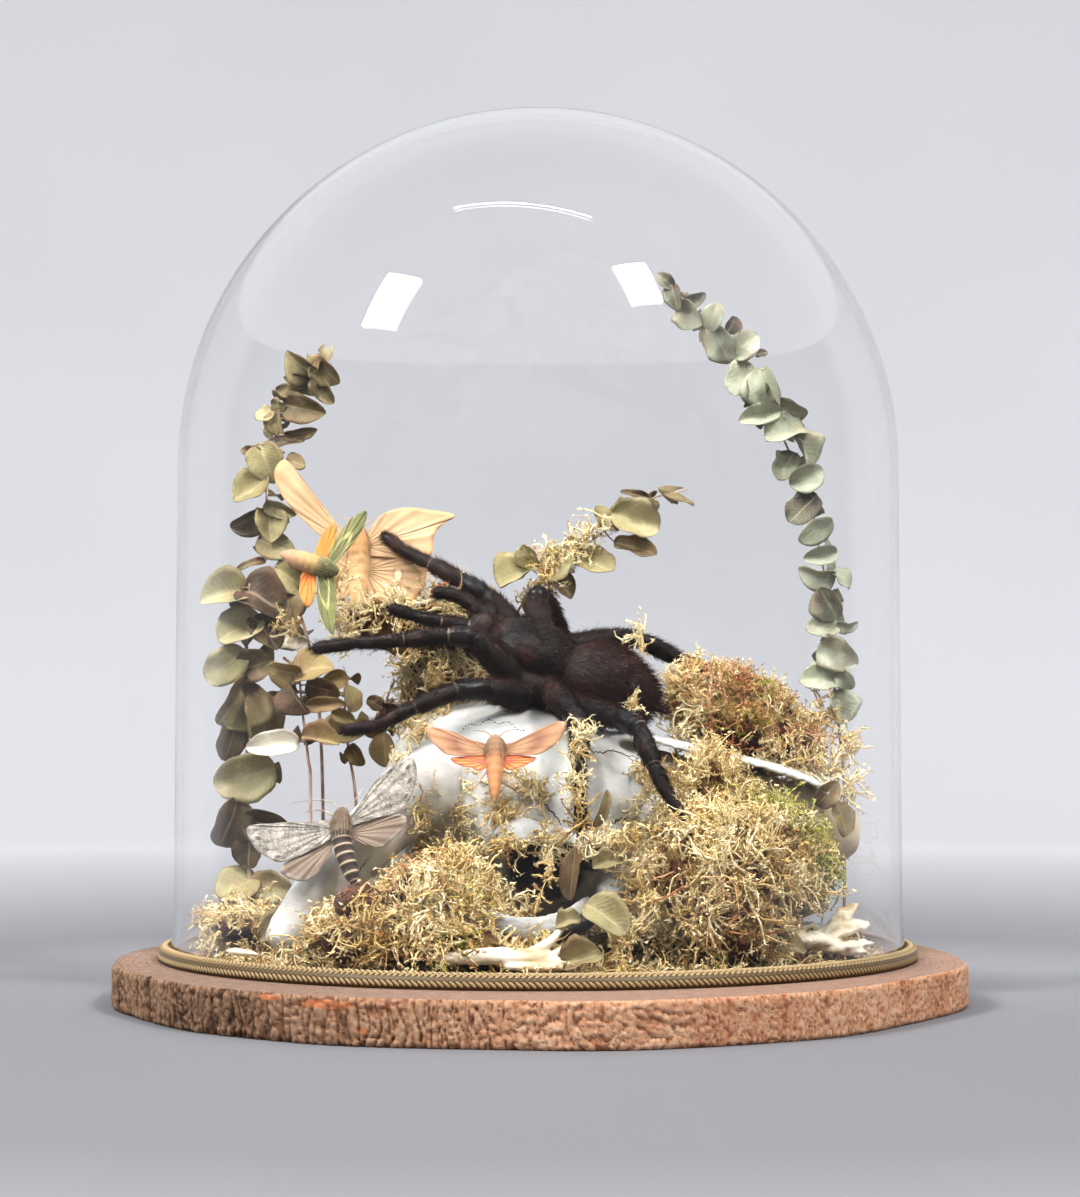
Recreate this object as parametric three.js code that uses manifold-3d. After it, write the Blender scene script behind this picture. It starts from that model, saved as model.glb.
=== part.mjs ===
// A tarantula and four moths on a horned skull, with moss and eucalyptus, under a glass dome.
// Millimetres, +Z up. The origin is the middle of the wood slice's underside, +X is to the
// viewer's right and +Y points away from the viewer.

import * as THREE from "three";
import { LoftGeometry } from "three/addons/geometries/LoftGeometry.js";
import { mergeVertices } from "three/addons/utils/BufferGeometryUtils.js";
import Module from "manifold-3d";

const GAP = 0.3; // air left between pieces that touch
const CARVE = 0.5; // how far soft moss stays back from what is pressed into it

const SLICE_THICKNESS = 17;
const SLICE_EDGE_ROUND = 2;

const DOME_AXIS_Y = 8;
const DOME_RADIUS = 150;
const DOME_WALL = 3;
const DOME_HEIGHT = 352;
const DOME_FLARE = 1.6;
const DOME_FLARE_HEIGHT = 22;
const TURNED_SIDES = 32; // facets round the dome and the braid
const CROWN_STEPS = 8; // facets from the dome's shoulder to its crown

const BRAID_RADIUS = 156.5;
const BRAID_WIDTH = 4.4;
const BRAID_HEIGHT = 6;
const BRAID_EDGE_CUT = 1.2;

const BED_RADIUS = 141;
const BED_SIDES = 24;
const BED_RIM_HEIGHT = 2.6;
const BED_CROWN_HEIGHT = 5;

const SKULL_ROLL = THREE.MathUtils.degToRad(20); // the skull leans towards the viewer
const SKULL_PIVOT_Y = 4;
const SKULL_PIVOT_Z = 70;
const ORBIT_RADIUS = 17; // half the width of an eye socket

const WING_THICKNESS = 0.9;
const LEG_SIDES = 5;
const SPRIG_SIDES = 7;

const wasm = await Module();
wasm.setup();

const group = new THREE.Group();

// ---------- solids ----------

function solidFrom(geometry) {
  const bare = new THREE.BufferGeometry().copy(geometry);
  bare.deleteAttribute("normal");
  bare.deleteAttribute("uv");
  const merged = mergeVertices(bare, 1e-3);
  return new wasm.Manifold(new wasm.Mesh({
    numProp: 3,
    vertProperties: new Float32Array(merged.attributes.position.array),
    triVerts: new Uint32Array(merged.index.array),
  }));
}

function geometryFrom(solid) {
  const mesh = solid.getMesh();
  const geometry = new THREE.BufferGeometry();
  geometry.setAttribute("position", new THREE.BufferAttribute(mesh.vertProperties, 3));
  geometry.setIndex(new THREE.BufferAttribute(mesh.triVerts, 1));
  geometry.computeVertexNormals();
  return geometry;
}

function joined(solids) {
  return solids.reduce((whole, piece) => whole.add(piece));
}

// The largest body left after a cut, without any loose crumbs.
function largestBody(solid) {
  const bodies = solid.decompose();
  return bodies.reduce((best, body) => (body.volume() > best.volume() ? body : best));
}

function carved(solid, cutters) {
  return largestBody(cutters.reduce((left, cutter) => left.subtract(cutter), solid));
}

function addMesh(name, geometry, colour, roughness, parent = group) {
  const material = new THREE.MeshStandardMaterial({ color: colour, roughness, metalness: 0 });
  const mesh = new THREE.Mesh(geometry, material);
  mesh.name = name;
  parent.add(mesh);
  return mesh;
}

// A tapered tube through [x, y, z, radius] stations, thickened by grow.
function tube(stations, sides, grow = 0) {
  const points = stations.map(([x, y, z]) => new THREE.Vector3(x, y, z));
  const curve = new THREE.CatmullRomCurve3(points);
  const last = points.length - 1;
  const across = new THREE.Vector3();
  const sections = points.map((point, i) => {
    const along = curve.getTangent(i / last);
    if (i === 0) {
      const reference = Math.abs(along.z) < 0.8 ? new THREE.Vector3(0, 0, 1) : new THREE.Vector3(0, 1, 0);
      across.copy(reference);
    }
    across.addScaledVector(along, -across.dot(along)).normalize();
    const side = new THREE.Vector3().crossVectors(along, across);
    const centre = point.clone();
    if (i === 0) centre.addScaledVector(along, -grow);
    if (i === last) centre.addScaledVector(along, grow);
    const radius = stations[i][3] + grow;
    return Array.from({ length: sides }, (_, k) => {
      const angle = (k / sides) * 2 * Math.PI;
      return centre.clone()
        .addScaledVector(across, radius * Math.cos(angle))
        .addScaledVector(side, radius * Math.sin(angle));
    });
  });
  return solidFrom(new LoftGeometry(sections, { capStart: true, capEnd: true }));
}

// An egg shape with its own radii, turned by angles in degrees about X, then Y, then Z.
function egg(centre, radii, turn = [0, 0, 0], detail = 2, grow = 0) {
  const geometry = new THREE.IcosahedronGeometry(1, detail);
  geometry.scale(radii[0] + grow, radii[1] + grow, radii[2] + grow);
  geometry.rotateX(THREE.MathUtils.degToRad(turn[0]));
  geometry.rotateY(THREE.MathUtils.degToRad(turn[1]));
  geometry.rotateZ(THREE.MathUtils.degToRad(turn[2]));
  geometry.translate(centre[0], centre[1], centre[2]);
  return solidFrom(geometry);
}

// ---------- wood slice: a disc sawn from a trunk, bark left on ----------

const RIM_POINTS = 40;

// The edge of the slice from above, [x, y], clockwise from the right.
const sliceRim = [
  [173, -8], [167, -50], [136, -104], [110, -139], [86, -156], [54, -173], [20, -182], [-20, -178],
  [-50, -173], [-76, -164], [-108, -141], [-131, -118], [-151, -83], [-167, -47], [-173, 0],
  [-170, 40], [-156, 86], [-128, 130], [-88, 163], [-40, 179], [5, 182], [52, 176], [98, 158],
  [136, 126], [161, 82], [171, 38],
];

function woodSlice() {
  const rim = new THREE.SplineCurve(sliceRim.map(([x, y]) => new THREE.Vector2(x, y)));
  rim.points.push(rim.points[0].clone());
  const inset = 1 - SLICE_EDGE_ROUND / DOME_RADIUS;
  const corners = rim.getPoints(RIM_POINTS).slice(0, -1).map((point) => point.multiplyScalar(inset));
  const geometry = new THREE.ExtrudeGeometry(new THREE.Shape(corners.reverse()), {
    depth: SLICE_THICKNESS - 2 * SLICE_EDGE_ROUND,
    bevelThickness: SLICE_EDGE_ROUND,
    bevelSize: SLICE_EDGE_ROUND,
    bevelSegments: 1,
  });
  geometry.translate(0, 0, SLICE_EDGE_ROUND);
  return geometry;
}

addMesh("wood_slice", woodSlice(), 0x9c7560, 0.85);

// ---------- glass dome and the braid round its foot ----------

// A bell of the given wall radius, turned from the middle of its foot out to the flared rim,
// up the wall and over the crown.
function bell(radius, footZ) {
  const shoulder = DOME_HEIGHT - DOME_RADIUS;
  const profile = [
    new THREE.Vector2(0, footZ),
    new THREE.Vector2(radius + DOME_FLARE, footZ),
    new THREE.Vector2(radius, DOME_FLARE_HEIGHT),
  ];
  for (let step = 0; step < CROWN_STEPS; step += 1) {
    const angle = (step / CROWN_STEPS) * (Math.PI / 2);
    profile.push(new THREE.Vector2(radius * Math.cos(angle), shoulder + radius * Math.sin(angle)));
  }
  profile.push(new THREE.Vector2(0, shoulder + radius));
  const geometry = new THREE.LatheGeometry(profile, TURNED_SIDES);
  geometry.rotateX(Math.PI / 2);
  return solidFrom(geometry);
}

const shell = bell(DOME_RADIUS, 0).subtract(bell(DOME_RADIUS - DOME_WALL, -DOME_WALL));
const dome = addMesh("glass_dome", geometryFrom(shell), 0xdfe6ea, 0.05);
dome.position.set(0, DOME_AXIS_Y, SLICE_THICKNESS + GAP);

function braidTrim() {
  const outer = BRAID_RADIUS;
  const inner = outer - BRAID_WIDTH;
  const section = [
    new THREE.Vector2(inner, 0),
    new THREE.Vector2(outer, 0),
    new THREE.Vector2(outer, BRAID_HEIGHT - BRAID_EDGE_CUT),
    new THREE.Vector2(outer - BRAID_EDGE_CUT, BRAID_HEIGHT),
    new THREE.Vector2(inner, BRAID_HEIGHT),
    new THREE.Vector2(inner, 0),
  ];
  const geometry = new THREE.LatheGeometry(section, TURNED_SIDES);
  geometry.rotateX(Math.PI / 2);
  return geometry;
}

const braid = addMesh("braid_trim", braidTrim(), 0x9a8347, 0.6);
braid.position.set(0, DOME_AXIS_Y, SLICE_THICKNESS + GAP);

// ---------- skull: one bone with both horn cores ----------

// Stations from the back of the head to the muzzle: [x, half width, top, bottom].
const skullStations = [
  [-63, 16, 96, 60], [-54, 30, 112, 44], [-36, 40, 121, 36], [-14, 45, 123, 33], [6, 47, 119, 32],
  [24, 42, 112, 31], [40, 32, 106, 31], [60, 24, 102, 33], [84, 20, 97, 36], [106, 17, 91, 42],
  [122, 13, 84, 52], [133, 8, 76, 60],
];
const SKULL_SECTION_SIDES = 16;

function leanTowardsViewer(geometry) {
  geometry.translate(0, -SKULL_PIVOT_Y, -SKULL_PIVOT_Z);
  geometry.rotateX(SKULL_ROLL);
  geometry.translate(0, SKULL_PIVOT_Y, SKULL_PIVOT_Z);
  return geometry;
}

function cranium(grow) {
  const sections = skullStations.map(([x, halfWidth, top, bottom]) => {
    const middle = (top + bottom) / 2;
    const halfHeight = (top - bottom) / 2;
    return Array.from({ length: SKULL_SECTION_SIDES }, (_, k) => {
      const angle = (k / SKULL_SECTION_SIDES) * 2 * Math.PI;
      return new THREE.Vector3(
        x,
        SKULL_PIVOT_Y + (halfWidth + grow) * Math.cos(angle),
        middle + (halfHeight + grow) * Math.sin(angle),
      );
    });
  });
  return solidFrom(leanTowardsViewer(new LoftGeometry(sections, { capStart: true, capEnd: true })));
}

const nearHorn = [
  [-34, -24, 92, 16], [-50, -38, 84, 15], [-62, -48, 72, 13.5], [-75, -56, 58, 11.5],
  [-87, -63, 44, 9.5], [-95, -68, 33, 8], [-99, -71, 27, 5],
];
const farHorn = [
  [-34, 36, 98, 15], [-48, 52, 88, 14], [-58, 64, 74, 12], [-66, 74, 58, 10], [-71, 80, 44, 8],
  [-74, 84, 33, 5],
];
const nearBrow = [[-18, -30, 72, 9], [-9, -52, 68, 8], [4, -59, 66, 8], [17, -54, 63, 8], [28, -30, 62, 9]];
const nearCheek = [[-20, -26, 46, 8], [-11, -51, 37, 6], [2, -60, 33, 6], [15, -55, 36, 6], [30, -26, 48, 8]];
const farBrow = [[-14, 44, 96, 9], [-8, 58, 88, 8], [4, 62, 84, 8], [17, 58, 82, 8], [24, 42, 84, 9]];
const farCheek = [[-16, 44, 66, 7], [-8, 60, 56, 6], [4, 63, 53, 6], [16, 56, 56, 6], [26, 38, 62, 8]];

function skull(grow = 0) {
  const bone = joined([
    cranium(grow),
    tube(nearHorn, 10, grow),
    tube(farHorn, 8, grow),
    tube(nearBrow, 7, grow),
    tube(nearCheek, 6, grow),
    tube(farBrow, 6, grow),
    tube(farCheek, 6, grow),
  ]);
  const nearSocket = egg([2, -56, 50], [ORBIT_RADIUS, 17, 12], [0, 0, 0], 2, -grow);
  const farSocket = egg([4, 62, 69], [ORBIT_RADIUS, 15, 11], [0, 0, 0], 1, -grow);
  return bone.subtract(nearSocket).subtract(farSocket);
}

addMesh("ram_skull", geometryFrom(skull()), 0xdcdcda, 0.6);

// ---------- loose bones and bark on the moss ----------

function jawBone(grow = 0) {
  return joined([
    tube([[-36, -119, 26, 1.2], [-26, -119, 26, 3], [-10, -118, 25.5, 3.6], [4, -117, 26, 3.2]], 6, grow),
    tube([[-4, -118, 26, 3], [3, -116, 31, 2.6], [7, -112, 37, 1.6]], 6, grow),
    tube([[-2, -118, 25, 2.6], [6, -119, 24.5, 1.8], [11, -119, 24.6, 1]], 6, grow),
  ]);
}

function vertebra(grow = 0) {
  return joined([
    egg([117, -48, 30], [8, 6, 6], [0, 0, 0], 1, grow),
    tube([[104, -52, 26, 1.4], [112, -50, 28, 2.6], [119, -46, 31, 2.6], [127, -38, 33, 1.4]], 5, grow),
    tube([[117, -48, 30, 2.6], [120, -45, 36, 2], [122, -42, 40, 1]], 5, grow),
    tube([[115, -50, 29, 2.6], [109, -58, 26.5, 1.8], [102, -63, 25.6, 1]], 5, grow),
  ]);
}

function sliver(grow = 0) {
  return egg([-112, -74, 24.6], [6.5, 2.6, 1.6], [0, 8, -18], 1, grow);
}

const barkChunks = [
  { name: "bark_chunk_upper", centre: [-65, -107, 46], radii: [9, 5, 7.5], turn: [10, 12, -8] },
  { name: "bark_chunk_lower", centre: [-70, -106, 30.5], radii: [11, 5, 6.5], turn: [-6, -14, 6] },
];

addMesh("jaw_bone", geometryFrom(jawBone()), 0xebe6d8, 0.6);
addMesh("vertebra", geometryFrom(vertebra()), 0xe9e0c9, 0.6);
addMesh("bone_sliver", geometryFrom(sliver()), 0xe9e6dc, 0.6);
for (const { name, centre, radii, turn } of barkChunks) {
  addMesh(name, geometryFrom(egg(centre, radii, turn, 1)), 0x4a2a1c, 0.9);
}

// ---------- tarantula ----------

// Limbs run from the body outwards: [x, y, z, radius].
const spiderLegs = [
  [[-8, 4, 152, 4], [-17, 2, 163, 5], [-27, 4, 171, 4.4], [-40, 8, 179.5, 3.6], [-53, 13, 184, 3.2],
    [-64, 18, 192, 2.4]],
  [[-6, -6, 142, 4], [-19, -12, 148, 5.2], [-26, -15, 152, 4.2], [-38, -17, 153.4, 3.4],
    [-49, -18, 156.6, 3], [-59, -18, 159.2, 2.4]],
  [[-2, -10, 136, 4], [-16, -19, 137, 5.6], [-32, -26, 145.6, 4.6], [-50, -26, 145.6, 3.6],
    [-68, -26, 145, 3], [-87, -26, 143.4, 2.2]],
  [[0, -12, 131, 4], [-8, -24, 127, 5], [-22, -34, 127, 4.6], [-36, -38, 123.6, 3.6],
    [-51, -40, 117, 3], [-66, -42, 111, 2.8], [-74, -43, 110.6, 2.2]],
  [[3, -12, 130, 4], [8, -30, 124, 5.2], [15, -52, 116, 5], [16, -64, 106, 4], [16, -68, 88, 3.2],
    [17, -73, 69, 2.2]],
  [[8, -12, 128, 4], [22, -36, 119, 5.4], [38, -54, 114, 5], [43, -64, 101, 4], [48, -69, 88, 3.2],
    [53, -74, 75, 2.4]],
  [[-2, 10, 150, 4], [-2, 22, 160, 4.4], [0, 30, 169.6, 3.6], [6, 38, 162, 3], [12, 50, 148, 2.4],
    [16, 58, 138, 2]],
  [[6, 10, 144, 4], [22, 22, 149, 4.6], [39, 30, 152, 4], [53, 36, 147.6, 3.8], [63, 42, 141, 3.2],
    [80, 48, 133.6, 2.6], [110, 52, 128, 2]],
];
const spiderPalps = [
  [[-12, -2, 150, 3], [-22, -6, 160, 3.8], [-33, -8, 165.4, 3], [-42, -9, 166.6, 2.4]],
  [[-16, 4, 150, 3], [-25, 6, 157, 3.4], [-31, 8, 161, 2.6]],
];

function tarantula(grow = 0) {
  const body = [
    egg([32, -8, 128.5], [25, 19, 16.5], [24, 22, -6], 2, grow),
    egg([-3, -3, 145.5], [18.5, 14, 9], [24, 26, -4], 2, grow),
    egg([-17, -6, 149.5], [8, 7.5, 6.5], [24, 26, -4], 1, grow),
    tube([[8, -6, 141, 6], [16, -6, 136, 6]], 8, grow),
    tube([[53, -10, 120, 2.2], [59, -10, 117, 1.4]], 5, grow),
  ];
  const limbs = [...spiderLegs, ...spiderPalps].map((stations) => tube(stations, LEG_SIDES, grow));
  return joined([...body, ...limbs]);
}

addMesh("tarantula", geometryFrom(tarantula()), 0x1c1310, 0.55);

// ---------- moths: a body with four spread wings, flat in their own plane ----------

// Outlines are in the wing plane: x along the span, y towards the head. body runs from head
// to tail as [x, y, radius].
const moths = [
  {
    name: "moth_pink",
    colour: 0xb57f63,
    centre: [-16.5, -63.5, 100.6],
    normal: [0, -0.8, 0.6],
    body: [[0, 7.2, 2.2], [0, 2.5, 3.6], [0, -4, 3.7], [0, -13, 2.9], [0, -22.5, 0.8]],
    wings: [
      [[-3, 3], [-14, 8.4], [-20, 10.6], [-27, 11.5], [-25, 5.6], [-21, 0], [-17, -2], [-3, -2]],
      [[3, 3], [10, 6.6], [18, 11.3], [24, 14.2], [26.8, 13.2], [25, 6], [21, 1.6], [15, -2], [3, -2]],
      [[-3, -1], [-17, -2.4], [-13.4, -5.4], [-8.6, -6.6], [-7, -7.8], [-3, -6.4]],
      [[3, -1], [15, -2], [13.4, -4.2], [8, -6.8], [5.4, -7.4], [3, -6]],
    ],
  },
  {
    name: "moth_grey",
    colour: 0x9b948c,
    centre: [-75, -70, 73.4],
    normal: [0.1, -0.86, 0.5],
    body: [[1, 7, 2.4], [0.4, 2, 3.6], [0.8, -5, 3.8], [2.8, -13, 3.6], [5.8, -22, 1.8]],
    wings: [
      [[-2, 3], [-15, 2.6], [-24, 2.4], [-33.5, 1.2], [-34.8, -1.8], [-31.4, -8], [-27, -12], [-22, -13.6],
        [-14, -10], [-3, -4]],
      [[2, 3.6], [7.4, 9], [14, 20.2], [24, 27.8], [28.4, 28.8], [29.8, 23], [28.6, 16.4], [25.6, 10.4],
        [22, 6.8], [14, 4], [3, 0]],
      [[-2, -2], [-12, -8.8], [-20.8, -14.2], [-22.4, -17], [-18.4, -20], [-13, -20.8], [-8, -17], [-2, -8]],
      [[3, 1], [22.6, 6], [25.4, 4.6], [22.8, -1.2], [16.6, -6.6], [13, -6.8], [4, -3]],
    ],
  },
  {
    name: "moth_green",
    colour: 0x77703a,
    centre: [-87.4, -16, 176.6],
    normal: [0, -0.95, 0.3],
    body: [[8, -3.4, 2], [4, -2, 3.2], [-3, 0.6, 3.6], [-10, 3.2, 3], [-17.6, 6, 1.2]],
    wings: [
      [[0.4, 0], [0.4, 4], [1, 12.4], [7.6, 20.4], [16.4, 23.8], [14.8, 14.6], [8, 7], [5, 0]],
      [[-5, 1], [-3.4, 10], [-0.4, 16.8], [4.2, 18.8], [3.4, 10], [1, 1]],
      [[-2, 0], [4, -1], [5.4, -14], [4.2, -29.4], [-2.2, -22], [-5, -14], [-3, -4]],
      [[-9, 1], [-3, 0], [-3.2, -12.4], [-6, -17.6], [-9.4, -12.6]],
    ],
  },
  {
    name: "moth_peach",
    colour: 0xe0b37c,
    centre: [-76, 20, 183.9],
    normal: [0, -0.98, 0.2],
    body: [[0, 11, 2.6], [0, 4, 4.4], [0, -6, 4.4], [0, -16, 3.6], [0, -26, 1.6]],
    wings: [
      [[-2, 0], [-15.4, 9], [-23, 15.8], [-32, 25], [-36.6, 35], [-32.4, 41.6], [-26.6, 35.4], [-18, 23.6],
        [-11.6, 13.8], [-2, 8]],
      [[2, 0], [2, 8], [4.6, 12.4], [10, 18], [18, 20.8], [28, 19.8], [40, 17.4], [34.4, 12.4], [31, 8],
        [30, 0], [18, -0.4]],
      [[2, 2], [25.4, 1], [28.4, -8.2], [24, -19], [14, -21.8], [2, -14]],
      [[-2, 2], [-15, -1], [-16.6, -10.4], [-11.4, -19.2], [-2, -16]],
    ],
  },
];

function mothSolid({ body, wings }, grow = 0) {
  const plates = wings.map((outline) => {
    const shape = new THREE.Shape(outline.map(([x, y]) => new THREE.Vector2(x, y)));
    const plate = new THREE.ExtrudeGeometry(shape, {
      depth: WING_THICKNESS,
      bevelEnabled: grow > 0,
      bevelThickness: grow,
      bevelSize: grow,
      bevelSegments: 1,
    });
    plate.translate(0, 0, -WING_THICKNESS / 2);
    return solidFrom(plate);
  });
  const stations = body.map(([x, y, radius]) => [x, y, 0, radius]);
  return joined([tube(stations, 7, grow), ...plates]);
}

function mothPose({ centre, normal }) {
  const up = new THREE.Vector3(...normal).normalize();
  const span = new THREE.Vector3(-up.y, up.x, 0).normalize();
  const head = new THREE.Vector3().crossVectors(up, span);
  return new THREE.Matrix4().makeBasis(span, head, up).setPosition(...centre);
}

function placedMoth(moth, grow) {
  return solidFrom(geometryFrom(mothSolid(moth, grow)).applyMatrix4(mothPose(moth)));
}

for (const moth of moths) {
  const mesh = addMesh(moth.name, geometryFrom(mothSolid(moth)), moth.colour, 0.85);
  mesh.applyMatrix4(mothPose(moth));
}

// ---------- eucalyptus sprigs: a stem with its round leaves, as one outer shape ----------

// The thin stations are bare stem, the wide ones reach the leaf tips.
const sprigs = [
  { name: "eucalyptus_far_left", colour: 0x7d7a52, stations: [
    [-116, -6, 23, 2], [-118, -4, 38, 10], [-121, -2, 54, 15], [-121, 0, 78, 17], [-121, 0, 106, 17],
    [-121, 0, 134, 17], [-121, 0, 158, 14], [-120, 0, 172, 6]] },
  { name: "eucalyptus_tall_left", colour: 0x7a6b45, stations: [
    [-92, 34, 23, 1.6], [-92, 32, 80, 1.6], [-94, 31, 122, 1.8], [-100, 31, 152, 3], [-105, 33, 168, 9],
    [-113, 38, 190, 12], [-120, 41, 208, 12], [-121, 41, 228, 12], [-115, 39, 246, 10],
    [-104, 36, 259, 11], [-94, 34, 272, 8]] },
  { name: "eucalyptus_mid_left", colour: 0x857b54, stations: [
    [-93, -12, 23, 1.4], [-93, -12, 86, 1.4], [-94, -12, 98, 6], [-95, -12, 114, 9], [-98, -10, 134, 8],
    [-100, -8, 148, 5]] },
  { name: "eucalyptus_inner_left", colour: 0x857250, stations: [
    [-74, 8, 23, 1.4], [-76, 9, 80, 1.4], [-80, 10, 98, 3], [-80, 10, 112, 9], [-81, 11, 128, 8],
    [-82, 12, 138, 5]] },
  { name: "eucalyptus_small_brown", colour: 0x6f5636, stations: [
    [-66, 44, 128, 4], [-66, 44, 118, 7], [-65, 43, 106, 7], [-65, 42, 95, 4]] },
  { name: "eucalyptus_tall_right", colour: 0x88917a, stations: [
    [130, 26, 23, 1.6], [130, 22, 84, 1.8], [124, 14, 120, 4], [122, 10, 132, 9], [123, 11, 150, 9],
    [122, 12, 172, 8], [118, 15, 199, 8.6], [112, 17, 217, 9.6], [104, 18, 238, 10.6],
    [88, 20, 263, 11.4], [70, 20, 287, 9.6], [53, 20, 305, 5]] },
  { name: "eucalyptus_centre", colour: 0x9a9468, stations: [
    [-20, 58, 130, 1.6], [-12, 52, 152, 1.8], [-5, 44, 168, 8], [9, 42, 184, 10], [27, 42, 197, 10],
    [43, 42, 206, 9], [58, 43, 212, 5], [68, 44, 217, 2]] },
];

for (const { name, colour, stations } of sprigs) {
  addMesh(name, geometryFrom(tube(stations, SPRIG_SIDES)), colour, 0.7);
}

// ---------- moss: clumps packed round everything else ----------

const lumps = {
  moss_front_left: { colour: 0xb9a466, eggs: [
    [[-54, -94, 38], [37, 25, 18]], [[-20, -78, 50], [23, 16, 22]], [[-38, -104, 31], [46, 17, 9]]] },
  moss_right_hill: { colour: 0xb3a05c, eggs: [
    [[77, -70, 50], [42, 42, 32]], [[104, -42, 68], [25, 32, 34]], [[62, -46, 88], [20, 20, 26]]] },
  moss_right_top: { colour: 0xa98f52, eggs: [
    [[86, 14, 121], [34, 28, 21]]] },
  moss_right_back: { colour: 0xa89a58, eggs: [
    [[78, 52, 58], [48, 36, 38]]] },
  moss_back_left: { colour: 0xae9a60, eggs: [
    [[-54, 18, 160], [32, 20, 20]], [[-40, 46, 128], [19, 20, 40]], [[-32, 62, 62], [27, 27, 54]]] },
  moss_left_foot: { colour: 0xb0a26a, eggs: [
    [[-114, 0, 31], [24, 42, 10]]] },
};

function mossBed() {
  const profile = [
    new THREE.Vector2(0, 0),
    new THREE.Vector2(BED_RADIUS, 0),
    new THREE.Vector2(BED_RADIUS - 1, BED_RIM_HEIGHT),
    new THREE.Vector2(BED_RADIUS / 2, BED_CROWN_HEIGHT),
    new THREE.Vector2(0, BED_CROWN_HEIGHT),
  ];
  const geometry = new THREE.LatheGeometry(profile, BED_SIDES);
  geometry.rotateX(Math.PI / 2);
  return geometry;
}

const bed = addMesh("moss_bed", mossBed(), 0xb4a66c, 0.9);
bed.position.set(0, DOME_AXIS_Y, SLICE_THICKNESS + GAP);

// The room that clumps may fill: inside the glass, from the bed's crown up to the dome's shoulder.
function mossRoom() {
  const floor = SLICE_THICKNESS + GAP + BED_CROWN_HEIGHT + GAP;
  const shoulder = SLICE_THICKNESS + DOME_HEIGHT - DOME_RADIUS;
  const column = new THREE.CylinderGeometry(BED_RADIUS, BED_RADIUS, shoulder - floor, BED_SIDES);
  column.rotateX(Math.PI / 2);
  column.translate(0, DOME_AXIS_Y, (shoulder + floor) / 2);
  return solidFrom(column);
}

const pressedIn = [
  skull(CARVE),
  tarantula(CARVE),
  jawBone(CARVE),
  vertebra(CARVE),
  sliver(CARVE),
  ...barkChunks.map(({ centre, radii, turn }) => egg(centre, radii, turn, 1, CARVE)),
  ...moths.map((moth) => placedMoth(moth, CARVE)),
  ...sprigs.map(({ stations }) => tube(stations, SPRIG_SIDES, CARVE)),
];

// Each clump is cut back from what is pressed into it and from the clumps laid before it.
const laid = [];
for (const [name, { colour, eggs }] of Object.entries(lumps)) {
  const clump = (grow) => joined(eggs.map(([centre, radii]) => egg(centre, radii, [0, 0, 0], 1, grow)));
  const shape = carved(clump(0).intersect(mossRoom()), [...pressedIn, ...laid]);
  addMesh(name, geometryFrom(shape), colour, 0.9);
  laid.push(clump(GAP));
}

export default group;
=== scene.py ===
"""A tarantula and four moths on a horned skull, with moss and eucalyptus, under a glass dome
that stands on a slice of tree trunk. Lengths are written in millimetres and scaled to metres."""

import math

import bpy
import numpy as np
from mathutils import Matrix, Vector, bvhtree, noise


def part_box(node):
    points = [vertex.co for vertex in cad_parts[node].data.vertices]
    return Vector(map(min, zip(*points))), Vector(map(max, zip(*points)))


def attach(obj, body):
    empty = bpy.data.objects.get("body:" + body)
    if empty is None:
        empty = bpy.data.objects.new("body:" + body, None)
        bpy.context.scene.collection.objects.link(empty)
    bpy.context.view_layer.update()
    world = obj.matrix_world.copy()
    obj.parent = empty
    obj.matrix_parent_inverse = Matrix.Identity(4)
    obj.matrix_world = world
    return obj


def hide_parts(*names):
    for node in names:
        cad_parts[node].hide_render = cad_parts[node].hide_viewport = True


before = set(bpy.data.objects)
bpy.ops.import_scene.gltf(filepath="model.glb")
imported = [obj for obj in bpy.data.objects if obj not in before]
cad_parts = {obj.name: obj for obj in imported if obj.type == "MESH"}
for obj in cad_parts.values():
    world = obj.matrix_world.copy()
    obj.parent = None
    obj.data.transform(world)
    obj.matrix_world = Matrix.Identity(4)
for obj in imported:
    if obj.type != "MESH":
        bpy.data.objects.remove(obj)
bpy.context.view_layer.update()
bpy.ops.object.select_all(action="DESELECT")

MM = 0.001


# ---------- the studio: a paper sweep, soft boxes and the camera ----------
# A round paper sweep stands for the studio. Two soft boxes stand at the upper left and right and
# a thin strip hangs overhead, and all three show as bright shapes on the glass.

def colour(code):
    """The linear colour of a six-digit code as painters and printers write it."""
    parts = [int(code[i:i + 2], 16) / 255 for i in (0, 2, 4)]
    return [p / 12.92 if p < 0.04045 else ((p + 0.055) / 1.055) ** 2.4 for p in parts] + [1.0]


trees = []


def finish_of(name, **sockets):
    """Begins a material with its surface values. Nodes made after this are its own. Gives the
    material and its Object coordinates."""
    made = bpy.data.materials.new(name)
    made.use_nodes = True
    trees.append(made.node_tree)
    for socket, value in sockets.items():
        paint(socket.replace("_", " "), value)
    return made, made.node_tree.nodes.new("ShaderNodeTexCoord").outputs["Object"]


def put(socket, value):
    """Links an output to a node's input, or sets the input to a value or a colour code."""
    if isinstance(value, bpy.types.NodeSocket):
        trees[-1].links.new(value, socket)
    else:
        socket.default_value = colour(value) if isinstance(value, str) else value


def paint(socket, value):
    """Puts a value on the surface itself."""
    put(trees[-1].nodes["Principled BSDF"].inputs[socket], value)


def add(kind, *first, **given):
    """A new node, with values for its first inputs and for inputs or settings by name."""
    new = trees[-1].nodes.new("ShaderNode" + kind)
    for socket, value in zip(new.inputs, first):
        put(socket, value)
    for key, value in given.items():
        socket = new.inputs.get(key.replace("_", " "))
        if socket is None:
            setattr(new, key, value)
        else:
            put(socket, value)
    return new.outputs[0]


def sums(kind, *values):
    """A Math node of the given kind."""
    return add("Math", *values, operation=kind)


def times(first, second):
    return sums("MULTIPLY", first, second)


def plus(first, second):
    return sums("ADD", first, second)


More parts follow.
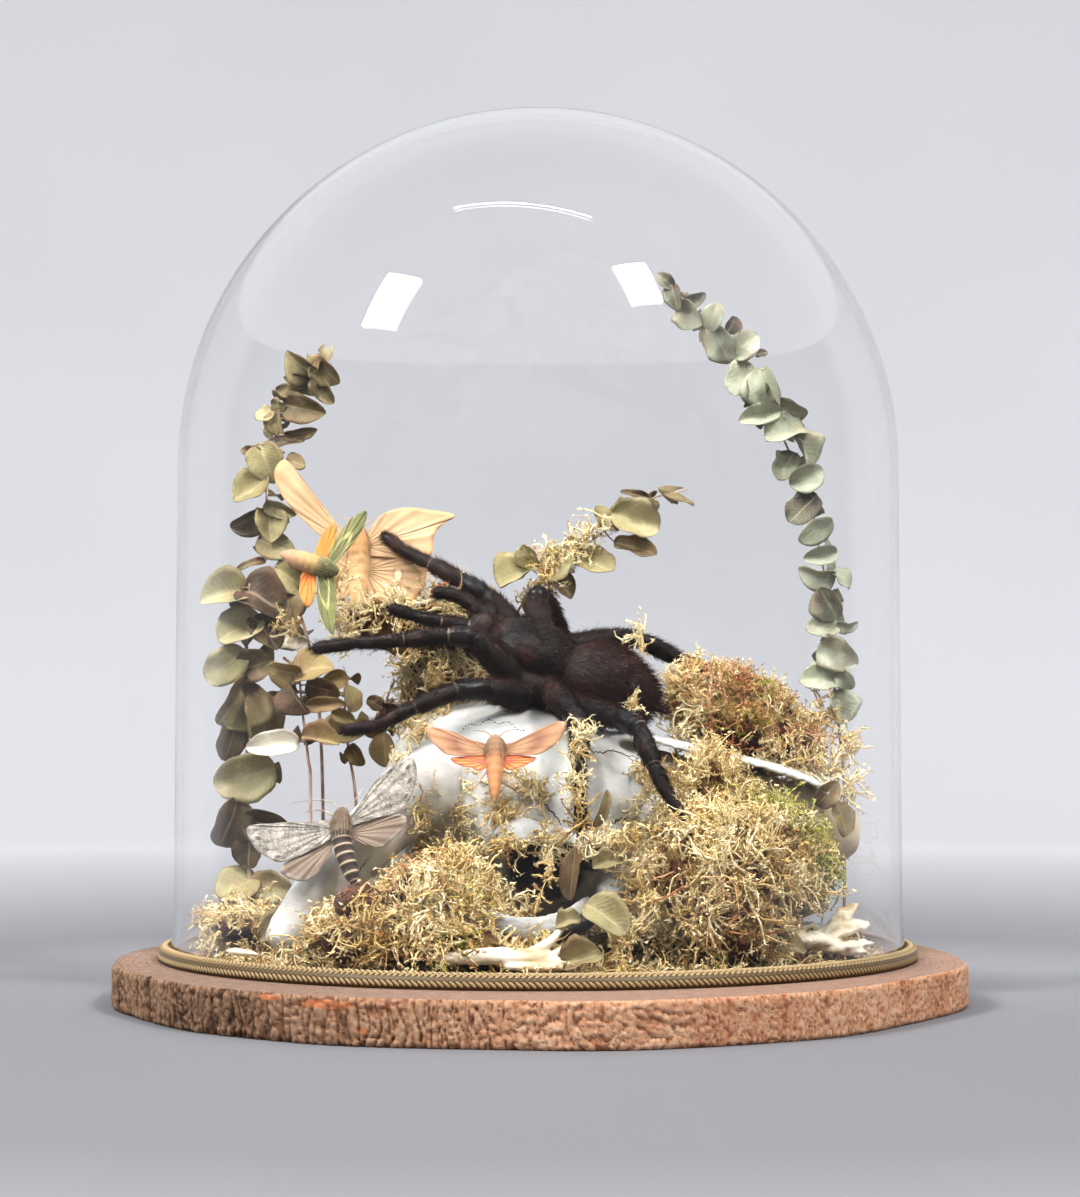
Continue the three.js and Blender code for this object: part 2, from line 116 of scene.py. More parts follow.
def noisy(place, scale, detail=2.0, roughness=0.5, distortion=0.0):
    """Cloudy noise from 0 to 1. The scale is how many clouds go to a metre."""
    return add("TexNoise", Vector=place, Scale=scale, Detail=detail, Roughness=roughness,
               Distortion=distortion)


def ramp(value, stops):
    """A colour for each height of a value, from heights and their colour codes."""
    new = add("ValToRGB", value).node
    while len(new.color_ramp.elements) < len(stops):
        new.color_ramp.elements.new(0.5)
    for element, (height, code) in zip(new.color_ramp.elements, stops.items()):
        element.position = height
        element.color = colour(code)
    return new.outputs["Color"]


def above(value, low, high, most="ffffff"):
    """A share that is nothing up to the low value and the most from the high one."""
    return ramp(value, {low: "000000", high: most})


def below(value, low, high, most="ffffff"):
    """A share that is the most up to the low value and nothing from the high one."""
    return ramp(value, {low: most, high: "000000"})


def blend(share, first, second):
    """Two colours mixed by a share. Each may be an output or a colour code."""
    new = add("Mix", data_type="RGBA").node
    for socket, value in zip((new.inputs[0], new.inputs[6], new.inputs[7]), (share, first, second)):
        put(socket, value)
    return new.outputs[2]


SWEEP_FLOOR_RADIUS = 1.9
SWEEP_CURVE_RADIUS = 0.8
SWEEP_WALL_HEIGHT = 1.5
SWEEP_TURN_STEPS = 96
SWEEP_CURVE_STEPS = 12
DISPLAY_CENTRE = Vector((0, 0.008, 0.2))

# The sweep is pale behind the display. The grey on the floor near it, the mid grey at the sides and
# the darkest grey on the camera's side are painted shade, which the glass mirrors.
paper, place = finish_of("sweep_paper", Roughness=0.9)
axes = add("SeparateXYZ", place).node.outputs
reach = add("VectorMath", add("CombineXYZ", axes["X"], axes["Y"]), operation="LENGTH").node.outputs["Value"]
behind = sums("DIVIDE", axes["Y"], sums("MAXIMUM", reach, 0.1))
reach_share = sums("DIVIDE", reach, 2.0)
pale_paper = ramp(noisy(place, 1.5), {0.3: "e9e9ec", 0.7: "efeff2"})
# Painted shade: the floor near the display is painted greyer.
pale_paper = blend(below(reach_share, 0.2, 0.8), pale_paper, "77777b")
# Painted shade: the paper is painted dark on the camera's side and mid grey at the sides.
painted_shade_share = times(above(reach_share, 0.24, 0.34), below(behind, 0.3, 0.42))
painted_shade_paper = ramp(plus(times(behind, 0.5), 0.5), {0.28: "636367", 0.42: "919195"})
paint("Base Color", blend(painted_shade_share, pale_paper, painted_shade_paper))

profile = [(0.0, 0.0), (SWEEP_FLOOR_RADIUS, 0.0)]
for step in range(1, SWEEP_CURVE_STEPS + 1):
    angle = math.pi / 2 * step / SWEEP_CURVE_STEPS
    profile.append((SWEEP_FLOOR_RADIUS + SWEEP_CURVE_RADIUS * math.sin(angle),
                    SWEEP_CURVE_RADIUS - SWEEP_CURVE_RADIUS * math.cos(angle)))
profile.append((SWEEP_FLOOR_RADIUS + SWEEP_CURVE_RADIUS, SWEEP_WALL_HEIGHT))


def linked(name, data):
    """A new object in the scene."""
    made = bpy.data.objects.new(name, data)
    bpy.context.scene.collection.objects.link(made)
    return made


def only(made):
    """Makes one object the selected and active one."""
    bpy.ops.object.select_all(action="DESELECT")
    made.select_set(True)
    bpy.context.view_layer.objects.active = made
    return made


def spun(name, outline, steps, centre_y=0.0):
    """A profile of (radius, height) points in metres, spun round a standing axis."""
    mesh = bpy.data.meshes.new(name)
    edges = [(i, i + 1) for i in range(len(outline) - 1)]
    mesh.from_pydata([(r, centre_y, z) for r, z in outline], edges, [])
    made = only(linked(name, mesh))
    bpy.ops.object.mode_set(mode="EDIT")
    bpy.ops.mesh.select_all(action="SELECT")
    bpy.ops.mesh.spin(steps=steps, angle=2 * math.pi, center=(0, centre_y, 0), axis=(0, 0, 1))
    bpy.ops.mesh.select_all(action="SELECT")
    bpy.ops.mesh.remove_doubles(threshold=1e-5)
    bpy.ops.mesh.normals_make_consistent(inside=False)
    bpy.ops.object.mode_set(mode="OBJECT")
    bpy.ops.object.shade_smooth()
    made.select_set(False)
    return made


sweep = spun("sweep", profile, SWEEP_TURN_STEPS)
sweep.data.materials.append(paper)

# Each light: its direction from the display, its distance, width, height and power.
lights = {
    "soft_box_left": ((-0.61, -0.44, 0.67), 1.4, 0.26, 0.37, 18.0),
    "soft_box_right": ((0.425, -0.52, 0.75), 1.4, 0.22, 0.30, 15.5),
    "strip_overhead": ((-0.05, -0.2, 0.96), 1.3, 0.70, 0.012, 1.0),
}
for name, (direction, distance, width, height, power) in lights.items():
    lamp = bpy.data.lights.new(name, "AREA")
    lamp.shape = "RECTANGLE"
    lamp.size = width
    lamp.size_y = height
    lamp.energy = power
    holder = linked(name, lamp)
    towards = Vector(direction).normalized()
    holder.location = DISPLAY_CENTRE + towards * distance
    holder.rotation_euler = towards.to_track_quat("Z", "Y").to_euler()

sky = bpy.data.worlds.new("studio_air")
sky.use_nodes = True
sky.node_tree.nodes["Background"].inputs["Color"].default_value = colour("f6f7fa")
sky.node_tree.nodes["Background"].inputs["Strength"].default_value = 0.94
bpy.context.scene.world = sky
bpy.context.scene.view_settings.view_transform = "Standard"

camera = linked("camera", bpy.data.cameras.new("camera"))
camera.location = Vector((0.8, -1042, 103)) * MM
camera.rotation_euler = (math.radians(93.4), 0, 0)
camera.data.lens = 75.52
camera.data.sensor_width = 36
bpy.context.scene.camera = camera


# ---------- wood slice ----------
# A disc sawn across a trunk and sanded on top, with the bark left on. The bark is scaly and
# fissured at the left, where patches have flaked to the orange layer, and finely cracked at right.

SLICE_THICKNESS = 17
SLICE_RIM = [
    (173, -8), (167, -50), (136, -104), (110, -139), (86, -156), (54, -173), (20, -182), (-20, -178),
    (-50, -173), (-76, -164), (-108, -141), (-131, -118), (-151, -83), (-167, -47), (-173, 0),
    (-170, 40), (-156, 86), (-128, 130), (-88, 163), (-40, 179), (5, 182), (52, 176), (98, 158),
    (136, 126), (161, 82), (171, 38),
]
BARK_COLUMNS = 1300
BARK_ROWS = 24
BARK_DEPTH = 2.2
SAWN_RINGS = [0.985, 0.97, 0.94, 0.9, 0.86, 0.8, 0.6, 0.3]


def smooth_path(points, count, closed=False):
    """Points spaced evenly in step along a curve that passes through the given points."""
    given = np.array(points, float)
    if closed:
        padded = np.vstack([given[-1], given, given[0], given[1]])
        spans = len(given)
    else:
        padded = np.vstack([2 * given[0] - given[1], given, 2 * given[-1] - given[-2]])
        spans = len(given) - 1
    place = np.linspace(0, spans, count, endpoint=not closed)
    i = np.minimum(place.astype(int), spans - 1)
    t = (place - i)[:, None]
    a, b, c, d = padded[i], padded[i + 1], padded[i + 2], padded[i + 3]
    doubled = 2 * b + (c - a) * t + (2 * a - 5 * b + 4 * c - d) * t ** 2 + (3 * b - a - 3 * c + d) * t ** 3
    return 0.5 * doubled


def marked(mesh, **marks):
    """Gives each point of a mesh a number under each name."""
    for label, values in marks.items():
        layer = mesh.attributes.new(label, "FLOAT", "POINT")
        layer.data.foreach_set("value", np.asarray(values, np.float32))


def from_arrays(name, points, faces, finish, **marks):
    """A piece from an (n, 3) array of points in millimetres and lists or arrays of face corners."""
    groups = [np.asarray(group, np.int32) for group in faces if len(group)]
    corners = np.concatenate([group.ravel() for group in groups])
    sizes = np.concatenate([np.full(len(group), group.shape[1], np.int32) for group in groups])
    mesh = bpy.data.meshes.new(name)
    mesh.vertices.add(len(points))
    mesh.vertices.foreach_set("co", (np.asarray(points) * MM).astype(np.float32).ravel())
    mesh.loops.add(len(corners))
    mesh.loops.foreach_set("vertex_index", corners)
    mesh.polygons.add(len(sizes))
    mesh.polygons.foreach_set("loop_start", np.concatenate([[0], np.cumsum(sizes)[:-1]]).astype(np.int32))
    mesh.update(calc_edges=True)
    marked(mesh, **marks)
    mesh.polygons.foreach_set("use_smooth", np.full(len(sizes), True))
    mesh.materials.append(finish)
    return linked(name, mesh)


def grid_faces(rows, columns, wrap=True, start=0):
    """Four-cornered faces between rows of points, each row with the same number of columns."""
    across = np.arange(columns if wrap else columns - 1)
    down = np.arange(rows - 1)
    r, c = np.meshgrid(down, across, indexing="ij")
    after = (c + 1) % columns
    quads = np.stack([r * columns + c, r * columns + after, (r + 1) * columns + after,
                      (r + 1) * columns + c], -1)
    return quads.reshape(-1, 4) + start


def bark_height(x, y, z, side):
    """How far the bark stands out, from 0 in a fissure to 1 on a plate. side is 0 left, 1 right."""
    way = math.atan2(y, x) * 170
    bend = noise.noise(Vector((way * 0.06, z * 0.08, 3.0))) * 3
    upright = abs(noise.noise(Vector(((way + bend) * (0.24 + 0.2 * side), z * (0.05 + 0.2 * side), 1.0))))
    across = abs(noise.noise(Vector(((way - bend) * (0.16 + 0.3 * side), z * (0.3 + 0.1 * side), 5.0))))
    fissure = min(1.0, upright * 7) * min(1.0, 0.35 + across * 6)
    fine = noise.fractal(Vector((way * 0.5, z * 0.45, 7.0)), 1.0, 2.0, 4)
    broad = noise.noise(Vector((way * 0.05, z * 0.07, 9.0)))
    return max(0.0, min(1.0, 0.3 + 0.55 * fissure + 0.2 * broad + 0.3 * fine))


rim = smooth_path(SLICE_RIM, BARK_COLUMNS, closed=True)
outward = np.roll(rim, -1, 0) - np.roll(rim, 1, 0)
outward = np.stack([outward[:, 1], -outward[:, 0]], 1)
outward /= np.linalg.norm(outward, axis=1, keepdims=True)
if (outward * rim).sum() < 0:
    outward = -outward
points = []
stands = []
for row in range(BARK_ROWS + 1):
    height = row / BARK_ROWS * SLICE_THICKNESS
    edge = min(height, SLICE_THICKNESS - height) / 2.0
    tuck = 0.0 if edge >= 1 else (1 - edge) ** 2 * 0.9
    for (x, y), (ox, oy) in zip(rim, outward):
        side = max(0.0, min(1.0, (x + 40) / 90))
        stand = bark_height(x, y, height, side)
        out = -BARK_DEPTH * (1 - stand) * (1 - 0.45 * side) - tuck + 0.3
        points.append((x + ox * out, y + oy * out, height))
        stands.append(stand)
# The sawn faces are rings that close in on a middle point.
side_points = len(points)
flat = np.concatenate([rim * share for share in SAWN_RINGS])
faces = [np.column_stack([flat, np.full(len(flat), height)]) for height in (SLICE_THICKNESS, 0)]
points = np.concatenate([points, *faces, [(0, 0, SLICE_THICKNESS), (0, 0, 0)]])
stands = np.append(stands, np.ones(len(points) - side_points))
column = np.arange(BARK_COLUMNS)
after = (column + 1) % BARK_COLUMNS
top_edge = side_points - BARK_COLUMNS
bottom_start = side_points + len(flat)
last_top = bottom_start - BARK_COLUMNS
last_bottom = bottom_start + len(flat) - BARK_COLUMNS
middle = len(points) - 2
quads = [
    grid_faces(BARK_ROWS + 1, BARK_COLUMNS),
    np.stack([top_edge + column, top_edge + after, side_points + after, side_points + column], 1),
    grid_faces(len(SAWN_RINGS), BARK_COLUMNS, start=side_points),
    np.stack([after, column, bottom_start + column, bottom_start + after], 1),
    grid_faces(len(SAWN_RINGS), BARK_COLUMNS, start=bottom_start)[:, ::-1],
]
closing = [
    np.stack([last_top + column, last_top + after, np.full_like(column, middle)], 1),
    np.stack([last_bottom + after, last_bottom + column, np.full_like(column, middle + 1)], 1),
]


def relief(*layers):
    """Bump nodes one on the other, from (height output, strength, depth in mm) layers."""
    under = None
    for height, strength, depth in layers:
        new = add("Bump", Strength=strength, Distance=depth * MM, Height=height).node
        if under is not None:
            put(new.inputs["Normal"], under)
        under = new.outputs["Normal"]
    paint("Normal", under)


def attribute(name):
    """The number that each point of the mesh holds under a name."""
    return add("Attribute", attribute_name=name).node.outputs["Fac"]


def seen_patch(place, centre, half):
    """How far a place is from the middle of an egg shape, 1 on its skin. Sizes in millimetres."""
    offset = add("VectorMath", place, Vector(centre) * MM, operation="SUBTRACT")
    scaled = add("VectorMath", offset, Vector(half) * MM, operation="DIVIDE")
    return add("VectorMath", scaled, operation="LENGTH").node.outputs["Value"]


bark_wood, place = finish_of("bark_and_sanded_wood", Roughness=0.8, Specular_IOR_Level=0.3)
stand_out = attribute("stands")
to_right = add("MapRange", Value=add("SeparateXYZ", place), From_Min=-0.11, From_Max=0.01)
speck = noisy(place, 450.0, 6.0, 0.75)
patch = noisy(place, 34.0, 5.0, 0.65)
drift = noisy(place, 120.0, 4.0)
drifted = add("Mix", data_type="VECTOR").node
for index, value in ((0, 0.004), (4, place), (5, noisy(place, 90.0).node.outputs["Color"])):
    put(drifted.inputs[index], value)
drifted = drifted.outputs[1]
tall_place = add("Mapping", Vector=drifted, Scale=(1, 1, 0.5))
cracks_left = add("TexVoronoi", Vector=tall_place, feature="DISTANCE_TO_EDGE", Scale=190.0)
cracks_right = add("TexVoronoi", Vector=drifted, feature="DISTANCE_TO_EDGE", Scale=480.0)
left_bark = ramp(plus(stand_out, times(speck, 0.3)),
                 {0.4: "2a1c14", 0.62: "563d2c", 0.85: "85634a", 1.0: "a07e62"})
left_bark = blend(below(cracks_left, 0.0, 0.07, "bbbbbb"), left_bark, "2a1c14")
left_bark = blend(above(patch, 0.5, 0.66, "999999"), left_bark, "8d5232")
right_bark = ramp(plus(times(stand_out, 0.6), times(speck, 0.7)),
                  {0.48: "8a563a", 0.7: "cd9069", 0.88: "e1ac87", 1.0: "ecc2a1"})
right_bark = blend(above(patch, 0.45, 0.65, "aaaaaa"), right_bark, "b5673f")
crust = times(below(cracks_right, 0.02, 0.11), above(drift, 0.42, 0.58, "dddddd"))
right_bark = blend(crust, right_bark, "e6c5a0")
right_bark = blend(below(cracks_right, 0.0, 0.015, "888888"), right_bark, "6a4330")
bark = blend(to_right, left_bark, right_bark)
for centre, half in (((-73, -164, 14.2), (26, 12, 2.6)), ((-94, -150, 15.2), (9, 12, 1.8)),
                     ((-60, -168, 5.5), (3.5, 8, 2.5))):
    torn = plus(seen_patch(place, centre, half), times(speck, 0.8))
    bark = blend(ramp(torn, {0.0: "eeeeee", 0.95: "eeeeee", 1.0: "000000"}), bark, "cf7f52")
ring_place = add("Mapping", Vector=place, Scale=(1.0, 0.95, 0.0))
growth = add("TexWave", Vector=ring_place, wave_type="RINGS", rings_direction="Z",
             Scale=62.0, Distortion=3.0, Detail=2.0)
sawn = ramp(growth, {0.0: "7b6152", 0.8: "8b705e", 1.0: "664d40"})
grain = noisy(place, 26.0, 3.0)
sawn = blend(times(grain, 0.55), sawn, "7b5c4b")
scuff = noisy(place, 170.0, 6.0, 0.8)
sawn = blend(above(scuff, 0.45, 0.7, "999999"), sawn, "bda491")
sawn = blend(above(to_right, 0.3, 1.0, "888888"), sawn, "b38b76")
normal = add("NewGeometry").node.outputs["Normal"]
up = sums("ABSOLUTE", add("SeparateXYZ", normal).node.outputs["Z"])
flat_share = above(up, 0.75, 0.95)
paint("Base Color", blend(flat_share, bark, sawn))
relief((speck, 0.5, 0.5), (sums("MINIMUM", cracks_left, 0.12), 0.4, 4.0), (scuff, 0.25, 0.25))

wood_slice = from_arrays("sawn_slice", points, quads + closing, bark_wood, stands=stands)
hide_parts("wood_slice")
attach(wood_slice, "root")


# ---------- glass dome ----------
# A mouth-blown bell of thin clear glass, ground flat and slightly flared at the foot. It stands
# free on the slice.

DOME_RADIUS = 150
DOME_WALL = 3
DOME_HEIGHT = 352
DOME_FLARE = 1.6
DOME_FLARE_HEIGHT = 22
DOME_FOOT_Z = 17.3
DOME_AXIS_Y = 8
DOME_TURN_STEPS = 160
CROWN_STEPS = 40


def bell_line(radius, foot):
    """One skin of the bell in metres, from its foot to just before the middle of its crown."""
    shoulder = DOME_HEIGHT - DOME_RADIUS
    line = []
    for step in range(9):
        rise = step / 8
        line.append((radius + DOME_FLARE * (1 - rise) ** 2, foot + DOME_FLARE_HEIGHT * rise))
    line += [(radius, foot + DOME_FLARE_HEIGHT + (shoulder - DOME_FLARE_HEIGHT) * k / 6) for k in range(1, 6)]
    for step in range(CROWN_STEPS):
        angle = math.pi / 2 * step / CROWN_STEPS
        line.append((radius * math.cos(angle), foot + shoulder + radius * math.sin(angle)))
    line.append((0.0, foot + shoulder + radius))
    return [(r * MM, z * MM) for r, z in line]


outside = bell_line(DOME_RADIUS, DOME_FOOT_Z)
inside = bell_line(DOME_RADIUS - DOME_WALL, DOME_FOOT_Z)
glass_dome = spun("clear_dome", inside[::-1] + outside, DOME_TURN_STEPS, centre_y=DOME_AXIS_Y * MM)
glass_dome.visible_shadow = False

clear, place = finish_of("clear_glass", Roughness=0.0, IOR=1.46, Transmission_Weight=1.0,
                         Base_Color=(0.985, 0.99, 0.99, 1))
relief((noisy(place, 9.0, 1.0), 0.12, 1.5))
glass_dome.data.materials.append(clear)
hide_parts("glass_dome")
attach(glass_dome, "root")


# ---------- braid ----------
# A flat ribbon plaited from two rows of gold-brown strands, glued round the foot of the dome. The
# strands of the upper row lean one way and those of the lower row the other.

BRAID_RADIUS = 156.5
BRAID_WIDTH = 4.4
BRAID_PITCH = 2.35
BRAID_ROWS = [
    # height over the slice, how far out from the middle line, lean in degrees, outward turn
    (1.75, 1.15, 52, 0),
    (4.0, 0.75, -52, 14),
    (5.15, -0.9, 52, 70),
]
BEAD_RADII = np.array([0.8, 0.8, 2.3])
# The corners of the plain tape under the strands, out from the middle line and up.
BRAID_CORE = [(-1.9, 0.0), (1.7, 0.0), (1.5, 4.4), (-1.9, 4.8)]

gold, place = finish_of("gold_braid", Roughness=0.5, Metallic=0.2)
wear = noisy(place, 60.0, 3.0)
thread = noisy(place, 900.0, 2.0)
# Painted light: each strand is painted dark where it turns in to its neighbours and light on its outer face,
# painted shade in the crevices and a painted highlight on top.
shade = ramp(attribute("top"), {0.0: "5a4727", 0.35: "836a3f", 0.75: "ad9160", 1.0: "cdb486"})
shade = blend(above(wear, 0.4, 0.7, "666666"), shade, "6b5432")
paint("Base Color", blend(times(thread, 0.4), shade, "4b3a1c"))
relief((thread, 0.4, 0.2))


def joined(parts):
    """The points of several shapes as one list, and each of their groups of faces as one."""
    starts = np.cumsum([0] + [len(part[0]) for part in parts])
    points, *groups = zip(*parts)
    return np.concatenate(points), [np.concatenate([faces + start for faces, start in zip(group, starts)])
                                    for group in groups]


bpy.ops.mesh.primitive_uv_sphere_add(segments=8, ring_count=6, radius=1.0)
bead = bpy.context.active_object
bead_points = np.array([v.co for v in bead.data.vertices])
bead_quads = np.array([list(f.vertices) for f in bead.data.polygons if len(f.vertices) == 4])
bead_caps = np.array([list(f.vertices) for f in bead.data.polygons if len(f.vertices) == 3])
bpy.data.objects.remove(bead)

centre_line = BRAID_RADIUS - BRAID_WIDTH / 2
count = round(2 * math.pi * centre_line / BRAID_PITCH)
parts = []
for row, (height, out, lean, turn) in enumerate(BRAID_ROWS):
    for k in range(count):
        angle = 2 * math.pi * (k + 0.5 * (row % 2)) / count
        placed = np.array(Matrix.Rotation(angle, 4, "Z") @ Matrix.Translation((centre_line + out, 0, 0))
                          @ Matrix.Rotation(math.radians(-turn), 4, "Y")
                          @ Matrix.Rotation(math.radians(lean), 4, "X"))
        shaped = (bead_points * BEAD_RADII) @ placed[:3, :3].T + placed[:3, 3]
        shaped += (0, DOME_AXIS_Y, DOME_FOOT_Z + height)
        parts.append((shaped, bead_quads, bead_caps, bead_quads[:0]))
angles = np.linspace(0, 2 * math.pi, count, endpoint=False)
core = [np.stack([(centre_line + out) * np.cos(angles), (centre_line + out) * np.sin(angles) + DOME_AXIS_Y,
                  np.full(count, DOME_FOOT_Z + height)], 1) for out, height in BRAID_CORE]
core_faces = grid_faces(len(core) + 1, count) % (len(core) * count)
parts.append((np.concatenate(core), bead_quads[:0], bead_caps[:0], core_faces))
points, groups = joined(parts)
# The share of painted light: 1 on each bead's outer face, 0 on its inner face and on the tape, which is
# painted darkest as shade in the gaps.
top = np.zeros(len(points))
top[:-len(core) * count] = np.tile(bead_points[:, 0] / 2 + 0.5, len(BRAID_ROWS) * count)
braid = from_arrays("plaited_braid", points, groups, gold, top=top)
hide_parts("braid_trim")
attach(braid, "root")


# ---------- skull ----------
# The weathered skull of a horned sheep or goat, one bone. It leans on its cheek towards the
# viewer, with one horn core reaching the bed at the left and the muzzle's thin roof at the right.

BONE_ROLL = math.radians(20)
BONE_PIVOT = np.array((0, 4, 70))
CRANIUM = [
    # x, half width, top, bottom
    (-63, 16, 96, 60), (-54, 30, 112, 44), (-36, 40, 121, 36), (-14, 45, 124, 33), (6, 47, 120, 32),
    (24, 42, 113, 31), (40, 32, 106, 31), (60, 24, 101, 33), (84, 19, 95, 36), (106, 16, 89, 42),
    (122, 13, 83, 52), (133, 8, 76, 60),
]
NEAR_HORN = [(-30, -20, 94, 17), (-46, -34, 87, 15.5), (-60, -46, 74, 13.5), (-73, -55, 60, 11.6),
             (-86, -62, 46, 10), (-95, -67, 34, 8.6), (-99, -70, 27, 7)]
FAR_HORN = [(-34, 36, 98, 15), (-48, 52, 88, 14), (-58, 64, 74, 12), (-66, 74, 58, 10), (-71, 80, 44, 8),
            (-74, 84, 33, 5)]
NEAR_BROW = [(-20, -26, 74, 10), (-11, -50, 69, 8.5), (2, -58, 66, 8), (16, -55, 63, 8), (30, -30, 62, 9)]
NEAR_CHEEK = [(-22, -28, 46, 8), (-17, -56, 39, 5), (-8, -65, 33.5, 4.4), (4, -68, 31.5, 4.6),
              (16, -65, 35, 4.6), (25, -56, 42, 5), (30, -28, 48, 8)]
FAR_BROW = [(-14, 44, 96, 9), (-8, 58, 88, 8), (4, 62, 84, 8), (17, 58, 82, 8), (24, 42, 84, 9)]
FAR_CHEEK = [(-16, 44, 66, 7), (-8, 60, 56, 6), (4, 63, 53, 6), (16, 56, 56, 6), (26, 38, 62, 8)]
NASAL_EDGE = [(26, -16, 108), (44, -19, 107.5), (64, -23, 102.5), (87, -23, 97.5), (109, -19, 91),
              (119, -14, 85)]
HOLLOWS = [
    # centre, radii and tilt of the near and far eye sockets, the nose's two sides and the temple
    ((3, -58, 50), (17.5, 24, 13.5), 6), ((4, 64, 69), (17, 20, 12), 0), ((62, -24, 84), (26, 15, 12), 14),
    ((98, -22, 76), (26, 14, 11), 16), ((-30, -34, 54), (12, 8, 7), -20),
]
PAINTED_SHADE_PLACES = [
    # centre and radii of the places painted dark as shade: the near socket, under the cheek, the far socket,
    # a hole
    ((3, -60, 50), (19, 29, 15)), ((15, -62, 35), (17, 34, 10)), ((4, 64, 69), (17.5, 21, 12.5)),
    ((41, -47, 90), (6.5, 8, 8.5)),
]
CRANIUM_RINGS = 70
CRANIUM_SIDES = 40
ROOF_COLUMNS = 40
ROOF_WIDTH = 36
ROOF_THICKNESS = 2.6
BONE_VOXEL = 1.25


def capped(rings, sides):
    """The side faces and the end faces of a tube, whose last two points are the tips of its ends."""
    ring = np.arange(sides)
    after = (ring + 1) % sides
    last = (rings - 1) * sides
    first_cap = np.stack([ring, after, np.full(sides, rings * sides)], 1)
    last_cap = np.stack([last + after, last + ring, np.full(sides, rings * sides + 1)], 1)
    return grid_faces(rings, sides)[:, ::-1], np.vstack([first_cap, last_cap])


def tube_arrays(stations, sides, rings, flat=1.0, reference=(0, 0, 1)):
    """A closed tapered tube through (x, y, z, radius) stations: its points and faces. flat makes
    its section an oval, thinner towards the reference direction."""
    line = smooth_path(stations, rings)
    centres, radii = line[:, :3], np.maximum(line[:, 3], 0.05)
    along = unit(np.gradient(centres, axis=0))
    across = np.cross(along, np.array(reference, float))
    across = unit(np.where(np.linalg.norm(across, axis=1, keepdims=True) < 0.2,
                           np.cross(along, (1.0, 0.3, 0)), across))
    other = np.cross(across, along)
    angle = np.arange(sides) / sides * 2 * math.pi
    spokes = across[:, None] * np.cos(angle)[None, :, None]
    spokes = spokes + other[:, None] * np.sin(angle)[None, :, None] * flat
    points = (centres[:, None] + spokes * radii[:, None, None]).reshape(-1, 3)
    points = np.vstack([points, centres[:1] - along[:1] * radii[0] * 0.3,
                        centres[-1:] + along[-1:] * radii[-1] * 0.3])
    return points, *capped(rings, sides)


def unit(vectors):
    """Vectors brought to a length of one."""
    return vectors / np.maximum(np.linalg.norm(vectors, axis=-1, keepdims=True), 1e-9)


def merged(name, parts, finish):
    """One piece from several shapes, each its points and groups of faces."""
    points, groups = joined(parts)
    return from_arrays(name, points, groups, finish)


def modified(made, kind, **settings):
    """Adds a modifier to a piece and applies it."""
    only(made)
    step = made.modifiers.new(kind, kind)
    for key, value in settings.items():
        setattr(step, key, value)
    bpy.ops.object.modifier_apply(modifier=step.name)


def fused(made, voxel, smoothing=0):
    """Melts overlapping shapes into one skin and evens it."""
    modified(made, "REMESH", mode="VOXEL", voxel_size=voxel * MM)
    if smoothing:
        modified(made, "SMOOTH", factor=0.5, iterations=smoothing)
    bpy.ops.object.shade_smooth()


def rolled(points):
    """Leans the skull over on its cheek."""
    turn = np.array([[1, 0, 0], [0, math.cos(BONE_ROLL), -math.sin(BONE_ROLL)],
                     [0, math.sin(BONE_ROLL), math.cos(BONE_ROLL)]])
    return (points - BONE_PIVOT) @ turn.T + BONE_PIVOT


def egg_reach(points, centre, radii):
    """How far points are from the middle of an egg shape, 1 on its skin."""
    return np.linalg.norm((points - centre) / radii, axis=1)


def roughened(made, scale, strength, depth=3, middle=0.5):
    """Pushes a piece's surface in and out by cloudy noise, with sizes in millimetres."""
    rough = bpy.data.textures.new(made.name, "CLOUDS")
    rough.noise_scale = scale * MM
    rough.noise_depth = depth
    modified(made, "DISPLACE", texture=rough, strength=strength * MM, mid_level=middle)


def hollowed(made, centre, radii, tilt):
    """Cuts an egg-shaped hollow into a piece, tilted by degrees about Y."""
    bpy.ops.mesh.primitive_uv_sphere_add(segments=32, ring_count=16, location=Vector(centre) * MM,
                                         rotation=(0, math.radians(tilt), 0), scale=Vector(radii) * MM)
    cutter = bpy.context.active_object
    modified(made, "BOOLEAN", object=cutter)
    bpy.data.objects.remove(cutter)


bone, place = finish_of("weathered_bone", Roughness=0.55, Specular_IOR_Level=0.35)
stain = attribute("stain")
cloud = noisy(place, 45.0, 5.0, 0.6)
white = ramp(cloud, {0.3: "9a9b9a", 0.5: "bcbcb9", 0.75: "cececa"})
streak_place = add("Mapping", Vector=place, Rotation=(0, math.radians(35), 0), Scale=(0.25, 1, 1.6))
streaks = noisy(streak_place, 190.0, 5.0, 0.7)
tan = noisy(place, 30.0, 6.0, 0.75)
white = blend(above(tan, 0.49, 0.7, "bbbbbb"), white, "b0946e")
pits = add("TexVoronoi", Vector=place, Scale=520.0)
pit_mask = above(noisy(place, 55.0), 0.52, 0.62)
pit_dark = times(below(pits, 0.08, 0.2), pit_mask)
white = blend(times(pit_dark, 0.5), white, "6b5a48")
# Tan painted under the edge of the muzzle's roof: part staining, part painted shade of its underside.
aged = attribute("aged")
white = blend(times(aged, 0.85), white, ramp(tan, {0.3: "a38a66", 0.6: "d0bd9d"}))
# Painted shade: near black inside the eye sockets, under the cheek and in a hole.
white = blend(stain, white, "110b08")
paint("Base Color", white)
relief((streaks, 0.55, 0.7), (cloud, 0.4, 1.5), (sums("SUBTRACT", 1.0, pit_dark), 0.5, 0.4))

